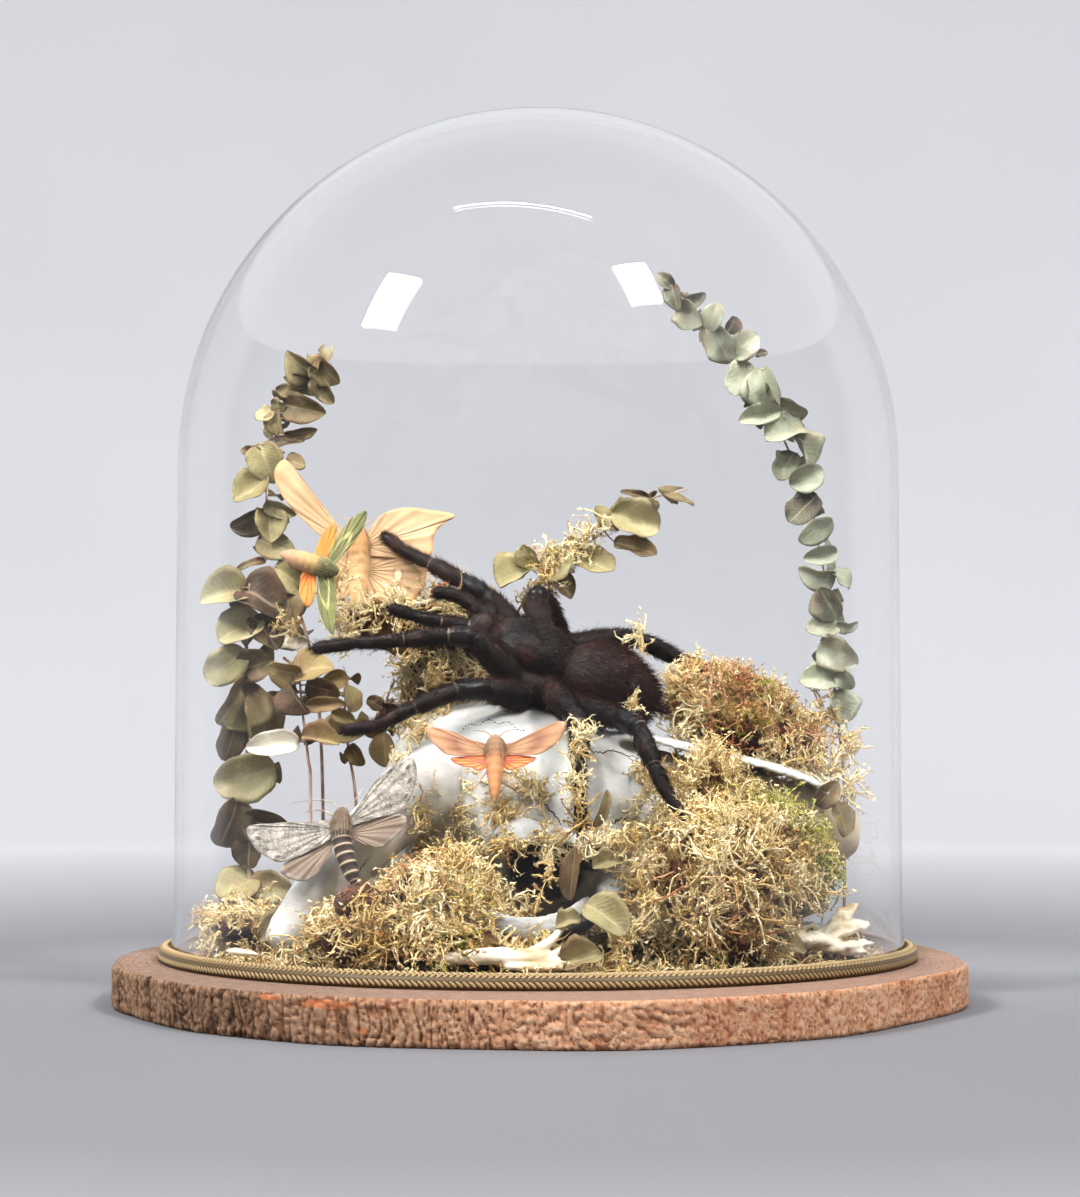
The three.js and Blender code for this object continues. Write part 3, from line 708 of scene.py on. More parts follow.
angles = np.arange(CRANIUM_SIDES) / CRANIUM_SIDES * 2 * math.pi
x, half_width, top, bottom = smooth_path(CRANIUM, CRANIUM_RINGS).T[:, :, None]
ring_points = np.stack([
    np.repeat(x, CRANIUM_SIDES, 1), BONE_PIVOT[1] + half_width * np.cos(angles),
    (top + bottom) / 2 + (top - bottom) / 2 * np.sin(angles),
], -1).reshape(-1, 3)
ends = [(x[end, 0], BONE_PIVOT[1], (top[end, 0] + bottom[end, 0]) / 2) for end in (0, -1)]
cranium = (rolled(np.vstack([ring_points, ends])), *capped(CRANIUM_RINGS, CRANIUM_SIDES))

edge = smooth_path(NASAL_EDGE, ROOF_COLUMNS)
roof_reach = ROOF_WIDTH * np.linspace(1, 0.7, ROOF_COLUMNS)
upper_roof = np.stack([
    edge + np.stack([np.zeros(ROOF_COLUMNS), roof_reach * share, np.full(ROOF_COLUMNS, lift)], 1)
    for share, lift in ((0, 0), (0.12, 0.9), (0.35, 1.9), (0.6, 2.2), (0.85, 1.4), (1, 0.4))])
lower_roof = (upper_roof - (0, 0, ROOF_THICKNESS))[::-1]
roof_points = np.concatenate([upper_roof, lower_roof]).reshape(-1, 3)
roof_rows = len(upper_roof) + len(lower_roof)
roof_faces = grid_faces(roof_rows + 1, ROOF_COLUMNS, wrap=False) % len(roof_points)

skull = merged("horned_skull", [cranium] + [
    tube_arrays(stations, sides, rings, flat) for stations, sides, rings, flat in (
        (NEAR_HORN, 20, 30, 1), (FAR_HORN, 18, 26, 1), (NEAR_BROW, 14, 24, 1), (NEAR_CHEEK, 14, 30, 0.8),
        (FAR_BROW, 12, 20, 1), (FAR_CHEEK, 12, 20, 1))], bone)
fused(skull, BONE_VOXEL, 8)
for centre, radii, tilt in HOLLOWS:
    hollowed(skull, centre, radii, tilt)
only(from_arrays("nasal_roof", roof_points, [roof_faces], bone))
bpy.ops.object.mode_set(mode="EDIT")
bpy.ops.mesh.select_all(action="SELECT")
bpy.ops.mesh.fill_holes(sides=0)
bpy.ops.mesh.normals_make_consistent(inside=False)
bpy.ops.object.mode_set(mode="OBJECT")
skull.select_set(True)
bpy.context.view_layer.objects.active = skull
bpy.ops.object.join()
fused(skull, BONE_VOXEL, 2)
roughened(skull, 26, 2.2)
roughened(skull, 6, 0.7)

skull_points = np.array([v.co for v in skull.data.vertices]) / MM
stains = np.zeros(len(skull_points))
for centre, radii in PAINTED_SHADE_PLACES:
    stains = np.maximum(stains, np.clip((1.24 - egg_reach(skull_points, centre, radii)) / 0.12, 0, 1))
# Below the roof's edge, from x 46 on, the tan and painted shade grow in.
aged = np.clip((np.interp(skull_points[:, 0], edge[:, 0], edge[:, 2]) - 1.4 - skull_points[:, 2]) / 2.5, 0, 1)
aged *= np.clip((skull_points[:, 0] - 46) / 8, 0, 1)
marked(skull.data, stain=stains, aged=aged)
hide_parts("ram_skull")
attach(skull, "root")

cheek_edge = merged("cheek_edge", [tube_arrays([
    (-20, -101, 43, 0.8), (-14, -104, 38.5, 3.0), (-5, -105, 36, 4.4), (5, -104, 37.5, 4.2),
    (13, -101, 41.5, 3.0), (19, -96, 47, 1.0)], 14, 30, 0.4, (0, 1, 0))], bone)
fused(cheek_edge, 0.6, 3)
roughened(cheek_edge, 7, 1.6)
# The cheek's edge is greyed evenly with a third of the painted shade.
marked(cheek_edge.data, stain=np.full(len(cheek_edge.data.vertices), 0.34))
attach(cheek_edge, "root")


# ---------- cracks and seams in the skull ----------
# Fine dry cracks drawn as thin dark lines, painted shade of their narrow gaps, and the pitted seam that runs
# along the forehead, its pits painted dark as shade.

SIGHT_PLANE_Y = -30


def seen_on(made, marks, lift=0.0):
    """Points on the near face of a piece, from (x, z) marks on the plane that faces the viewer."""
    tree = bvhtree.BVHTree.FromObject(made, bpy.context.evaluated_depsgraph_get())
    eye = camera.location
    found = []
    for x, z in marks:
        target = Vector((x, SIGHT_PLANE_Y, z)) * MM
        hit, normal, _, _ = tree.ray_cast(eye, (target - eye).normalized())
        if hit is not None:
            found.append(np.array(hit + normal * lift * MM) / MM)
    return found


# Painted shade: the dark colour of the crack lines and seam pits stands for the shade inside them.
crack_shade, place = finish_of("painted_crack_shade", Roughness=0.9)
dust = noisy(place, 400.0)
paint("Base Color", ramp(dust, {0.3: "2a211b", 0.7: "57483a"}))

CRACKS = [
    # (x, z) along each crack, and its width
    ([(20, 101.5), (25, 101), (30, 101.8), (36, 100), (41, 99)], 0.34),
    ([(36, 100), (38.5, 96), (42, 93.5)], 0.26),
    ([(19, 71.5), (24, 73), (29, 72.6), (33, 74.4), (38, 74), (41, 75)], 0.34),
    ([(1, 82), (6, 77), (10, 71.5)], 0.3),
    ([(-1, 83.5), (8, 84.5)], 0.22),
    ([(-66, 60), (-70, 56), (-73, 51)], 0.22),
    ([(-88, 38), (-91, 33), (-92.5, 28)], 0.3),
    ([(-83, 36), (-86, 30)], 0.25),
]
rng = np.random.default_rng(5)
crack_shapes = []
for marks, width in CRACKS:
    line = smooth_path(marks, len(marks) * 5)
    line += rng.normal(0, 0.28, line.shape)
    on_bone = seen_on(skull, line, 0.02)
    if len(on_bone) > 2:
        taper = np.sin(np.linspace(0.25, math.pi - 0.25, len(on_bone)))
        stations = [(*p, width * t) for p, t in zip(on_bone, taper)]
        crack_shapes.append(tube_arrays(stations, 5, len(stations) * 2))
seam = [(-30 + 1.15 * k, 113.5 + 0.8 * math.sin(k * 0.9) - 0.03 * (k - 10) ** 2) for k in range(22)]
for x, y, z in seen_on(skull, seam, 0.0):
    size = rng.uniform(0.25, 0.5)
    pit = [(x - size, y, z, 0.1), (x, y, z, size * 0.8), (x + size, y, z, 0.1)]
    crack_shapes.append(tube_arrays(pit, 5, 5))
cracks = merged("bone_cracks", crack_shapes, crack_shade)
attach(cracks, "root")


# ---------- loose bones and bark on the moss ----------
# A broken piece of jaw at the front, a spiny neck bone at the right, a white splinter at the left,
# and two lumps of dark rotten bark that peep out of the front moss.

ivory, place = finish_of("ivory_bone", Roughness=0.5, Specular_IOR_Level=0.4)
warmth = noisy(place, 70.0, 4.0)
paint("Base Color", ramp(warmth, {0.32: "a98d63", 0.46: "d3c6aa", 0.68: "e4ddcd"}))
relief((warmth, 0.4, 1.0), (noisy(place, 420.0), 0.3, 0.3))

LOOSE_BONES = {
    "jaw_fragment": ("jaw_bone", [
        ([(-38, -119, 25.6, 1.0), (-30, -119, 26.4, 3.4), (-20, -119, 27, 4.2), (-8, -118, 26.6, 4.6),
          (6, -117, 26, 3.4)], 0.75),
        ([(-8, -118, 26, 3.4), (0, -116.5, 29, 2.8), (6, -114, 33.6, 2.0), (10, -112, 37.4, 1.2)], 0.8),
        ([(-4, -118, 25.6, 3.0), (5, -119, 25, 2.6), (11, -119.5, 25, 1.6)], 0.8),
        ([(-12, -121, 23.6, 1.6), (-2, -122, 22.9, 2.0), (9, -121, 22.9, 1.2)], 0.8),
        ([(5, -117, 27, 1.6), (9, -116, 29, 1.4), (12, -116, 28, 0.9)], 1.0),
    ]),
    "neck_bone": ("vertebra", [
        ([(100, -56, 26, 2), (110, -53, 29, 6), (119, -47, 32, 7.5), (126, -41, 33, 5), (130, -37, 33, 2)],
         0.42),
        ([(114, -50, 30, 4.6), (119, -46, 36, 4.4), (125, -41, 41, 2)], 0.5),
        ([(104, -62, 24.5, 2), (114, -59, 25.5, 5), (124, -53, 26, 4), (131, -48, 26.5, 1.6)], 0.4),
        ([(84, -74, 25, 1.5), (92, -72, 27, 5), (101, -67, 29, 7), (110, -60, 28, 5.4), (117, -55, 27, 2)],
         0.45),
        ([(96, -68, 29, 3.6), (100, -64, 33, 3.2), (106, -60, 35, 1.4)], 0.6),
        ([(112, -54, 24.4, 2.2), (120, -57, 23.8, 2.4), (127, -56, 23.6, 1.2)], 0.55),
    ]),
    "white_splinter": ("bone_sliver", [
        ([(-118.5, -72.5, 25.2, 0.6), (-114, -73.6, 24.8, 2.0), (-109, -75, 24.4, 1.7),
          (-105.5, -76, 24, 0.5)], 0.7),
    ]),
}
for name, (node, arms) in LOOSE_BONES.items():
    piece = merged(name, [tube_arrays(stations, 12, 16, flat) for stations, flat in arms], ivory)
    fused(piece, 0.55, 4)
    roughened(piece, 5, 3.2 if node == "vertebra" else 1.0)
    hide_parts(node)
    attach(piece, "root")

rotten, place = finish_of("rotten_bark", Roughness=0.85)
flake = noisy(place, 160.0, 8.0, 0.7, 1.5)
paint("Base Color", ramp(flake, {0.3: "1b0d08", 0.5: "4b2817", 0.66: "8a5330", 0.8: "c79566"}))
relief((flake, 1.0, 1.6))
for node in ("bark_chunk_upper", "bark_chunk_lower"):
    low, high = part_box(node)
    middle, half = (low + high) / 2, (high - low) / 2
    bpy.ops.mesh.primitive_ico_sphere_add(subdivisions=5, location=middle, scale=half)
    lump = bpy.context.active_object
    lump.name = lump.data.name = node.replace("bark_chunk", "rotten_bark")
    bpy.ops.object.transform_apply(location=True, rotation=True, scale=True)
    lump.data.materials.append(rotten)
    if node == "bark_chunk_upper":
        bpy.ops.mesh.primitive_ico_sphere_add(subdivisions=5, location=Vector((-47, -103, 49)) * MM,
                                              scale=Vector((7.5, 5, 6)) * MM)
        bpy.ops.object.transform_apply(location=True, rotation=True, scale=True)
        bpy.context.active_object.data.materials.append(rotten)
        lump.select_set(True)
        bpy.context.view_layer.objects.active = lump
        bpy.ops.object.join()
    roughened(lump, 10, 8.0)
    roughened(lump, 3, 1.5)
    bpy.ops.object.shade_smooth()
    lump.select_set(False)
    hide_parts(node)
    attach(lump, "root")


# ---------- moss ----------
# Dried bog moss, a pale straw-coloured tangle of curly strands with short scale leaves, with some
# green and rusty tufts in it. It is pressed into clumps round the bones and glued down.

STRAND_STEPS = 6
STRAND_SIDES = 3
SCALE_LEAF = (0.8, 2.1)
PACKED_VOXEL = 2.4
GREEN_PLACES = [(98, -60, 74, 26), (108, -44, 58, 26), (-24, -119, 22, 14), (-27, -98, 40, 8),
                (88, 2, 116, 15)]
RUSTY_PLACES = [(84, -8, 128, 26), (66, -10, 134, 15), (-22, -80, 72, 12), (110, -6, 112, 14),
                (74, -104, 32, 12), (52, -96, 56, 8), (-50, -96, 44, 12), (-40, 14, 168, 9),
                (66, -88, 60, 7), (90, -88, 40, 9)]

moss, place = finish_of("dry_moss", Roughness=0.85, Specular_IOR_Level=0.2)
tone = ramp(attribute("straw"), {0.0: "9d7a42", 0.25: "cfad6d", 0.55: "e8cf95", 1.0: "f7e9c0"})
tone = blend(attribute("green"), tone, "8c9427")
tone = blend(attribute("rusty"), tone, "b0704c")
mottle = noisy(place, 700.0, 2.0)
tone = blend(times(mottle, 0.3), tone, "6d5628")
paint("Base Color", tone)
relief((mottle, 0.3, 0.3))


def mesh_arrays(made):
    """Points in millimetres, triangle corners, triangle normals and areas of an object's mesh."""
    mesh = made.data
    mesh.calc_loop_triangles()
    points = np.empty(len(mesh.vertices) * 3)
    mesh.vertices.foreach_get("co", points)
    points = points.reshape(-1, 3) / MM
    corners = np.empty(len(mesh.loop_triangles) * 3, np.int32)
    mesh.loop_triangles.foreach_get("vertices", corners)
    corners = corners.reshape(-1, 3)
    a, b, c = (points[corners[:, k]] for k in range(3))
    cross = np.cross(b - a, c - a)
    size = np.linalg.norm(cross, axis=1)
    return points, corners, cross / np.maximum(size, 1e-9)[:, None], size / 2


def scatter(made, number, rng, allowed=None):
    """Random places on an object's surface and the surface's direction there."""
    points, corners, normals, areas = mesh_arrays(made)
    if allowed is not None:
        areas = areas * allowed(points[corners].mean(1), normals)
    pick = rng.choice(len(corners), number, p=areas / areas.sum())
    u, v = rng.random((2, number))
    flip = u + v > 1
    u, v = np.where(flip, 1 - u, u), np.where(flip, 1 - v, v)
    a, b, c = (points[corners[pick, k]] for k in range(3))
    return a + (b - a) * u[:, None] + (c - a) * v[:, None], normals[pick]


def locks(points, seed, wavelength=19.0):
    """A smooth field of directions, so that strands that are close together lie together."""
    rng = np.random.default_rng(seed)
    waves = unit(rng.normal(size=(5, 3))) * 2 * math.pi / wavelength * rng.uniform(0.6, 1.5, (5, 1))
    ways = rng.normal(size=(5, 3))
    return np.sin(points @ waves.T + rng.uniform(0, 6, 5)) @ ways


def curly_strands(roots, normals, rng, length, radius, rise, curl=1.05, stay=4.0):
    """Curly tapered strands with scale leaves, that grow from roots. Gives points, the two groups
    of faces, and how many points each strand has."""
    number = len(roots)
    lengths = rng.uniform(length[0], length[1], (number, 1)) / (STRAND_STEPS - 1)
    thick = rng.uniform(radius[0], radius[1], (number, 1))
    lean = rng.uniform(rise[0], rise[1], (number, 1))
    sideways = unit(np.cross(normals, locks(roots, 3) * 1.1 + rng.normal(size=(number, 3)) * 0.6))
    heading = unit(sideways * np.cos(lean) + normals * np.sin(lean))
    turning = unit(locks(roots, 4, 11.0) + rng.normal(size=(number, 3)) * 0.5)
    bend = rng.uniform(0.2, 1.1, (number, 1)) * curl
    here = roots - normals * 0.8
    reference = turning
    centres, frames = [], []
    for step in range(STRAND_STEPS):
        across = unit(np.cross(heading, reference))
        other = np.cross(heading, across)
        reference = -across * 0.2 + reference
        centres.append(here)
        frames.append((across, other, heading))
        here = here + heading * lengths
        height = ((here - roots) * normals).sum(1, keepdims=True)
        heading = heading + np.cross(turning, heading) * bend + rng.normal(size=(number, 3)) * 0.28
        heading = unit(heading - normals * np.maximum(0, height - stay) * 0.12)
        turning = unit(turning + rng.normal(size=(number, 3)) * 0.3)
    taper = np.interp(np.linspace(0, 1, STRAND_STEPS), [0, 0.3, 0.75, 1], [0.8, 1.1, 0.8, 0.15])
    rings = []
    for step, (centre, (across, other, _)) in enumerate(zip(centres, frames)):
        for k in range(STRAND_SIDES):
            angle = 2 * math.pi * k / STRAND_SIDES
            spoke = across * math.cos(angle) + other * math.sin(angle)
            rings.append(centre + spoke * thick * taper[step])
    body = np.stack(rings, 1)
    per_body = STRAND_STEPS * STRAND_SIDES
    leaves = []
    for step in range(1, STRAND_STEPS):
        centre, (across, other, along) = centres[step], frames[step]
        for _ in range(4):
            angle = rng.uniform(0, 2 * math.pi, (number, 1))
            spoke = across * np.cos(angle) + other * np.sin(angle)
            flank = np.cross(along, spoke)
            reach = rng.uniform(*SCALE_LEAF, (number, 1))
            stem = centre - along * lengths * rng.uniform(0, 1, (number, 1))
            leaves.append(stem + flank * thick * 0.9)
            leaves.append(stem - flank * thick * 0.9)
            leaves.append(stem + spoke * reach * 0.8 + along * reach * rng.uniform(0.2, 1.0, (number, 1)))
    leafy = np.stack(leaves, 1)
    per_strand = per_body + leafy.shape[1]
    points = np.concatenate([body, leafy], 1).reshape(-1, 3)
    quads = grid_faces(STRAND_STEPS, STRAND_SIDES)
    tris = np.arange(leafy.shape[1]).reshape(-1, 3) + per_body
    starts = (np.arange(number) * per_strand)[:, None, None]
    return points, (quads[None] + starts).reshape(-1, 4), (tris[None] + starts).reshape(-1, 3), per_strand


def near(points, places):
    """A share from 0 to 1 for how near points lie to the middles of round places."""
    share = np.zeros(len(points))
    for x, y, z, size in places:
        gap = np.linalg.norm(points - np.array((x, y, z)), axis=1) / size
        share = np.maximum(share, np.clip(1.25 - gap, 0, 1))
    return share


def tangle(name, parts, rng, tint=0.0):
    """One moss piece from strands grown on one or more surfaces."""
    straws, greens, rusts = [], [], []
    for roots, (*_, per_strand) in parts:
        number = len(roots)
        green_share = near(roots, GREEN_PLACES) > rng.random(number) * 0.8 + 0.1
        green_share = green_share * rng.uniform(0.5, 1.0, number)
        rusty_share = near(roots, RUSTY_PLACES) > rng.random(number) * 0.9 + 0.15
        rusty_share = rusty_share * rng.uniform(0.4, 1.0, number)
        rusty_share = np.maximum(rusty_share, (rng.random(number) < 0.05) * 0.6)
        along = np.tile(np.linspace(0, 1, per_strand), number) * 0.12
        clump = locks(roots, 9, 16.0)[:, 0] * 0.1
        straw = np.repeat(rng.normal(0.52 + tint, 0.17, number) + clump, per_strand)
        straws.append(np.clip(straw + along, 0, 1))
        greens.append(np.repeat(green_share, per_strand))
        rusts.append(np.repeat(rusty_share, per_strand))
    points, groups = joined([shape[:3] for _, shape in parts])
    made = from_arrays(name, points, groups, moss, straw=np.concatenate(straws), green=np.concatenate(greens),
                       rusty=np.concatenate(rusts))
    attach(made, "root")
    return made


def grown_on(made, number, rng, length=(8, 21), radius=(0.3, 0.62), rise=(-0.1, 0.9), allowed=None, **more):
    """The roots and the shapes of strands that grow from a piece's surface."""
    roots, normals = scatter(made, number, rng, allowed)
    return roots, curly_strands(roots, normals, rng, length, radius, rise, **more)


def cushion(node, name, lid=None, narrow=None, scoops=(), slump=(0, 0)):
    """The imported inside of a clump: the clump's shape, roughened. A lid gives the greatest height
    at each X as (x, z) places, where the clump thins out over the bones. narrow moves X places.
    Scoops are egg-shaped hollows, open to the front, as (centre, radii). Slump is (x, slope)."""
    made = only(linked(name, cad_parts[node].data.copy()))
    bpy.ops.object.mode_set(mode="EDIT")
    bpy.ops.mesh.select_all(action="SELECT")
    bpy.ops.mesh.remove_doubles(threshold=1e-5)
    bpy.ops.object.mode_set(mode="OBJECT")
    modified(made, "REMESH", mode="VOXEL", voxel_size=PACKED_VOXEL * MM)
    roughened(made, 9, 8, depth=2, middle=0.7)
    coords = np.array([v.co for v in made.data.vertices])
    coords[:, 2] -= slump[1] * np.maximum(0, coords[:, 0] - slump[0] * MM)
    if lid is not None:
        top = np.interp(coords[:, 0], *(np.array(lid).T * MM))
        coords[:, 2] = np.where(coords[:, 2] > top, top + (coords[:, 2] - top) * 0.12, coords[:, 2])
        if narrow is not None:
            coords[:, 0] = np.interp(coords[:, 0], *(np.array(narrow).T * MM))
        for (x, y, z), (wide, deep, high) in scoops:
            reach = ((coords[:, 0] / MM - x) / wide) ** 2 + ((coords[:, 2] / MM - z) / high) ** 2
            back = (y + deep * np.sqrt(np.clip(1 - reach, 0, 1))) * MM
            coords[:, 1] = np.where(reach < 1, np.maximum(coords[:, 1], back), coords[:, 1])
    made.data.vertices.foreach_set("co", coords.astype(np.float32).ravel())
    made.data.update()
    made.data.materials.clear()
    made.data.materials.append(packed_moss_and_painted_shade)
    bpy.ops.object.shade_smooth()
    made.select_set(False)
    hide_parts(node)
    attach(made, "root")
    return made


# The packed moss is dark: part its own brown, part painted shade for the shadowy depths between the strands.
packed_moss_and_painted_shade, place = finish_of("packed_moss_and_painted_shade", Roughness=0.95, Specular_IOR_Level=0.1)
fibres = noisy(place, 260.0, 8.0, 0.8, 2.0)
packed = ramp(fibres, {0.3: "382915", 0.5: "886d40", 0.7: "c6aa70"})
paint("Base Color", blend(above(noisy(place, 55.0, 3.0), 0.48, 0.6), packed, "4a2415"))
relief((fibres, 1.0, 2.0))

bed = cushion("moss_bed", "packed_bed")
front_left = cushion("moss_front_left", "packed_front_left", lid=[
    (-92, 20), (-88, 27), (-75, 33), (-65, 37), (-56, 46), (-45, 54), (-32, 56), (-25, 50), (-19, 38),
    (-14, 31), (-10, 28), (0, 26), (20, 26)],
    scoops=[((-56, -115, 45), (14, 17, 7)), ((-69, -117, 30), (11, 14, 8))])
right_hill = cushion("moss_right_hill", "packed_right_hill", lid=[
    (40, 60), (50, 74), (58, 90), (64, 97), (70, 92), (78, 81), (92, 75), (108, 69), (120, 60), (132, 40)],
    narrow=[(30, 40), (77, 77), (104, 98), (132, 116)], scoops=[((110, -74, 32), (27, 40, 19))])
right_top = cushion("moss_right_top", "packed_right_top", slump=(66, 0.4))
right_back = cushion("moss_right_back", "packed_right_back")
back_left = cushion("moss_back_left", "packed_back_left", lid=[
    (-90, 156), (-80, 160), (-60, 160), (-48, 161), (-36, 168), (-28, 165), (-18, 150)])
left_foot = cushion("moss_left_foot", "packed_left_foot")


def outer_ring(middles, normals):
    """Favours the bed's rim and its upper face."""
    from_axis = np.hypot(middles[:, 0], middles[:, 1] - DOME_AXIS_Y)
    return (normals[:, 2] > 0.2) * (0.25 + 1.6 * np.clip((from_axis - 95) / 40, 0, 1))


def facing_out(middles, normals):
    """Everywhere but underneath, thick in some places and thin in others."""
    return (normals[:, 2] > -0.5) * np.clip(0.7 + 0.5 * locks(middles, 15, 15.0)[:, 0], 0.12, 2)


rng = np.random.default_rng(11)
tangle("moss_strands_bed", [
    grown_on(bed, 2700, rng, (7, 16), (0.25, 0.5), (-0.1, 0.5), outer_ring, stay=2.5),
], rng, 0.02)
tangle("moss_strands_front_left", [
    grown_on(front_left, 2600, rng, allowed=facing_out),
    grown_on(left_foot, 700, rng, (6, 15), allowed=facing_out),
], rng)
tangle("moss_strands_right_hill", [grown_on(right_hill, 3900, rng, allowed=facing_out)], rng)
tangle("moss_strands_right_top", [
    grown_on(right_top, 2000, rng, (6, 15), (0.22, 0.45), allowed=facing_out),
    grown_on(right_back, 700, rng, allowed=facing_out),
], rng, -0.05)
# The back left clump is painted paler, a painted light that makes up for the light it lacks at the back.
tangle("moss_strands_back_left", [grown_on(back_left, 2800, rng, allowed=facing_out)], rng, 0.3)


# ---------- tarantula ----------
# A large dried bird-eating spider, set over the skull with its legs spread. Its hard skin is near
# black and covered in short hair, with bare glossy knees and paler skin at the joints.

BODY_TURN = (24, 24, -5)
BODY_EGGS = [
    # centre, radii
    ((-2, -5, 143), (20, 15.5, 12.5)),
    ((-4, -12, 128), (13, 8, 8)),
    ((-13, -5, 149), (9, 8.5, 7)),
    ((-23.5, -11, 148.5), (7.8, 5.6, 8)),
    ((-18.5, -1, 153.5), (8.6, 5.2, 6.6)),
    ((14, -6, 137.5), (6, 5, 4)),
    ((27, -7.5, 130), (20, 17.5, 15.5)),
    ((35, -9, 126), (14.5, 14, 13)),
    ((2, -8, 138), (13, 9, 7)),
]
SPINNERETS = [((45, -13, 120.5), (53, -15, 117), 1.7), ((46, -7, 121.5), (54, -7, 118.5), 1.5)]
SEGMENT_RADII = (4.2, 5.3, 4.5, 3.7, 2.9, 2.6)
LEGS = {
    # base, then the ends of hip, thigh, knee, shin, foot and toe
    "first_near": [(-4, 3, 147), (-9, 2, 152), (-22, 2, 166), (-31, 5, 172), (-45, 10, 180), (-57, 15, 186),
                   (-65.5, 19, 193)],
    "second_near": [(-4, -5, 142), (-9, -8, 143.5), (-21, -13, 148.5), (-29, -15, 152), (-39.5, -17, 154),
                    (-50, -18, 156.6), (-60.5, -18, 160)],
    "third_near": [(-1, -9, 134), (-7, -15, 127.5), (-26, -25, 147.5), (-36, -26, 148.2), (-54, -26, 146.6),
                   (-73, -26, 145.2), (-91, -26, 143)],
    "fourth_near": [(1, -11, 128), (-5, -17, 122.5), (-20, -31, 126.5), (-33, -36.5, 126), (-49, -40, 119),
                    (-64, -42, 112), (-77, -43, 109.5)],
    "fore_rear": [(3, -12, 130), (5, -20, 126.5), (13, -46, 117), (16, -57, 112), (16, -66, 99),
                  (16, -70, 85), (17, -73.5, 69)],
    "hind_rear": [(7, -12, 128), (12, -19, 119.5), (32, -46, 115), (39.5, -57, 111), (44.5, -65, 96.5),
                  (50, -69, 85), (57.5, -73, 75)],
    "far_high": [(-1, 8, 147), (1, 14, 150.5), (-1, 26, 166), (1, 31, 169.5), (8, 40, 160), (12, 50, 149),
                 (16, 57, 139)],
    "far_rear": [(4, 8, 143), (9, 13, 144.5), (35, 28, 149.5), (43, 32, 149.5), (61, 40, 141),
                 (82, 47, 134), (108, 53, 128)],
}
PALPS = {
    "palp_near": [(-15, -8, 149), (-19, -8.5, 153.5), (-27, -8.5, 161.5), (-32, -8.5, 165),
                  (-38, -9, 166.5), (-43, -9, 167)],
    "palp_far": [(-15, 2, 152), (-18, 4, 156), (-25, 6.5, 160.5), (-28.5, 7.5, 163), (-31, 8, 164.5),
                 (-33, 8.5, 165.5)],
}
PALP_RADII = (3.0, 3.5, 3.2, 3.0, 2.6)
LIMB_SHAPE = [(0, 0.74), (0.18, 0.97), (0.5, 1.0), (0.84, 0.93), (1.0, 0.72)]
SHIELD = ((-2, -3, 146), (17, 14, 10))
BELLY = ((31, -9, 128), (26, 20, 18))
HAIR_COUNT = 33000
HAIR_WIDTH = 0.12


def turned_egg(centre, radii, turn, segments=28):
    """Points and faces of an egg shape, turned by degrees about X, then Y, then Z."""
    ring, rows = segments, segments // 2
    polar = np.linspace(0.02, math.pi - 0.02, rows)
    angle = np.arange(ring) / ring * 2 * math.pi
    points = np.stack([
        np.sin(polar)[:, None] * np.cos(angle), np.sin(polar)[:, None] * np.sin(angle),
        np.repeat(np.cos(polar)[:, None], ring, 1)], -1).reshape(-1, 3)
    points = np.vstack([points, [(0, 0, 1), (0, 0, -1)]]) * radii
    spin = Matrix.Rotation(math.radians(turn[2]), 3, "Z") @ Matrix.Rotation(math.radians(turn[1]), 3, "Y")
    spin = np.array(spin @ Matrix.Rotation(math.radians(turn[0]), 3, "X"))
    return points @ spin.T + centre, *capped(rows, ring)


def limb_part(start, end, radius):
    """One segment of a leg, narrower where it is jointed."""
    start, end = np.array(start, float), np.array(end, float)
    return tube_arrays([(*(start + (end - start) * along), radius * wide) for along, wide in LIMB_SHAPE],
                       16, 12)


def spikes(roots, directions, lengths, width):
    """Thin three-sided points that stand on a surface, such as hairs: points and triangles."""
    number = len(roots)
    directions = unit(directions)
    across = unit(np.cross(directions, np.array((0.31, 0.77, 0.55))))
    other = np.cross(directions, across)
    lengths = np.reshape(lengths, (-1, 1))
    corners = [roots + (across * math.cos(a) + other * math.sin(a)) * width for a in (0, 2.1, 4.2)]
    points = np.stack(corners + [roots + directions * lengths], 1).reshape(-1, 3)
    faces = np.array([(0, 1, 3), (1, 2, 3), (2, 0, 3)])[None] + (np.arange(number) * 4)[:, None, None]
    return points, faces.reshape(-1, 3)


skin, place = finish_of("spider_skin", Roughness=0.6, Specular_IOR_Level=0.22)
pore = noisy(place, 620.0, 4.0)
blotch = noisy(place, 110.0, 4.0)
dark = ramp(blotch, {0.38: "080505", 0.58: "1a0e0a", 0.75: "3a2016"})
dark = blend(attribute("warm"), dark, "22120d")
gloss = attribute("gloss")
# The knees are glossier, and their base colour is tinted bluish black as a painted reflection.
paint("Base Color", blend(gloss, dark, "0e1114"))
paint("Roughness", sums("SUBTRACT", 0.6, times(gloss, 0.44)))
relief((pore, 0.5, 0.5), (blotch, 0.8, 2.0))

shapes = [turned_egg(centre, radii, BODY_TURN) for centre, radii in BODY_EGGS]
shapes += [tube_arrays([(*start, r), (*end, r * 0.5)], 10, 8) for start, end, r in SPINNERETS]
for radii, limbs in ((SEGMENT_RADII, LEGS), (PALP_RADII, PALPS)):
    for joints in limbs.values():
        shapes += [limb_part(start, end, radius) for start, end, radius in zip(joints, joints[1:], radii)]
spider = merged("tarantula_body", shapes, skin)
fused(spider, 0.72, 2)

spider_points = mesh_arrays(spider)[0]
knees = np.array([(np.array(joints[2]) + np.array(joints[3])) / 2 for joints in LEGS.values()])


def knee_gap(places):
    """How far each place is from the nearest knee."""
    return np.linalg.norm(places[:, None] - knees[None], axis=2).min(1)


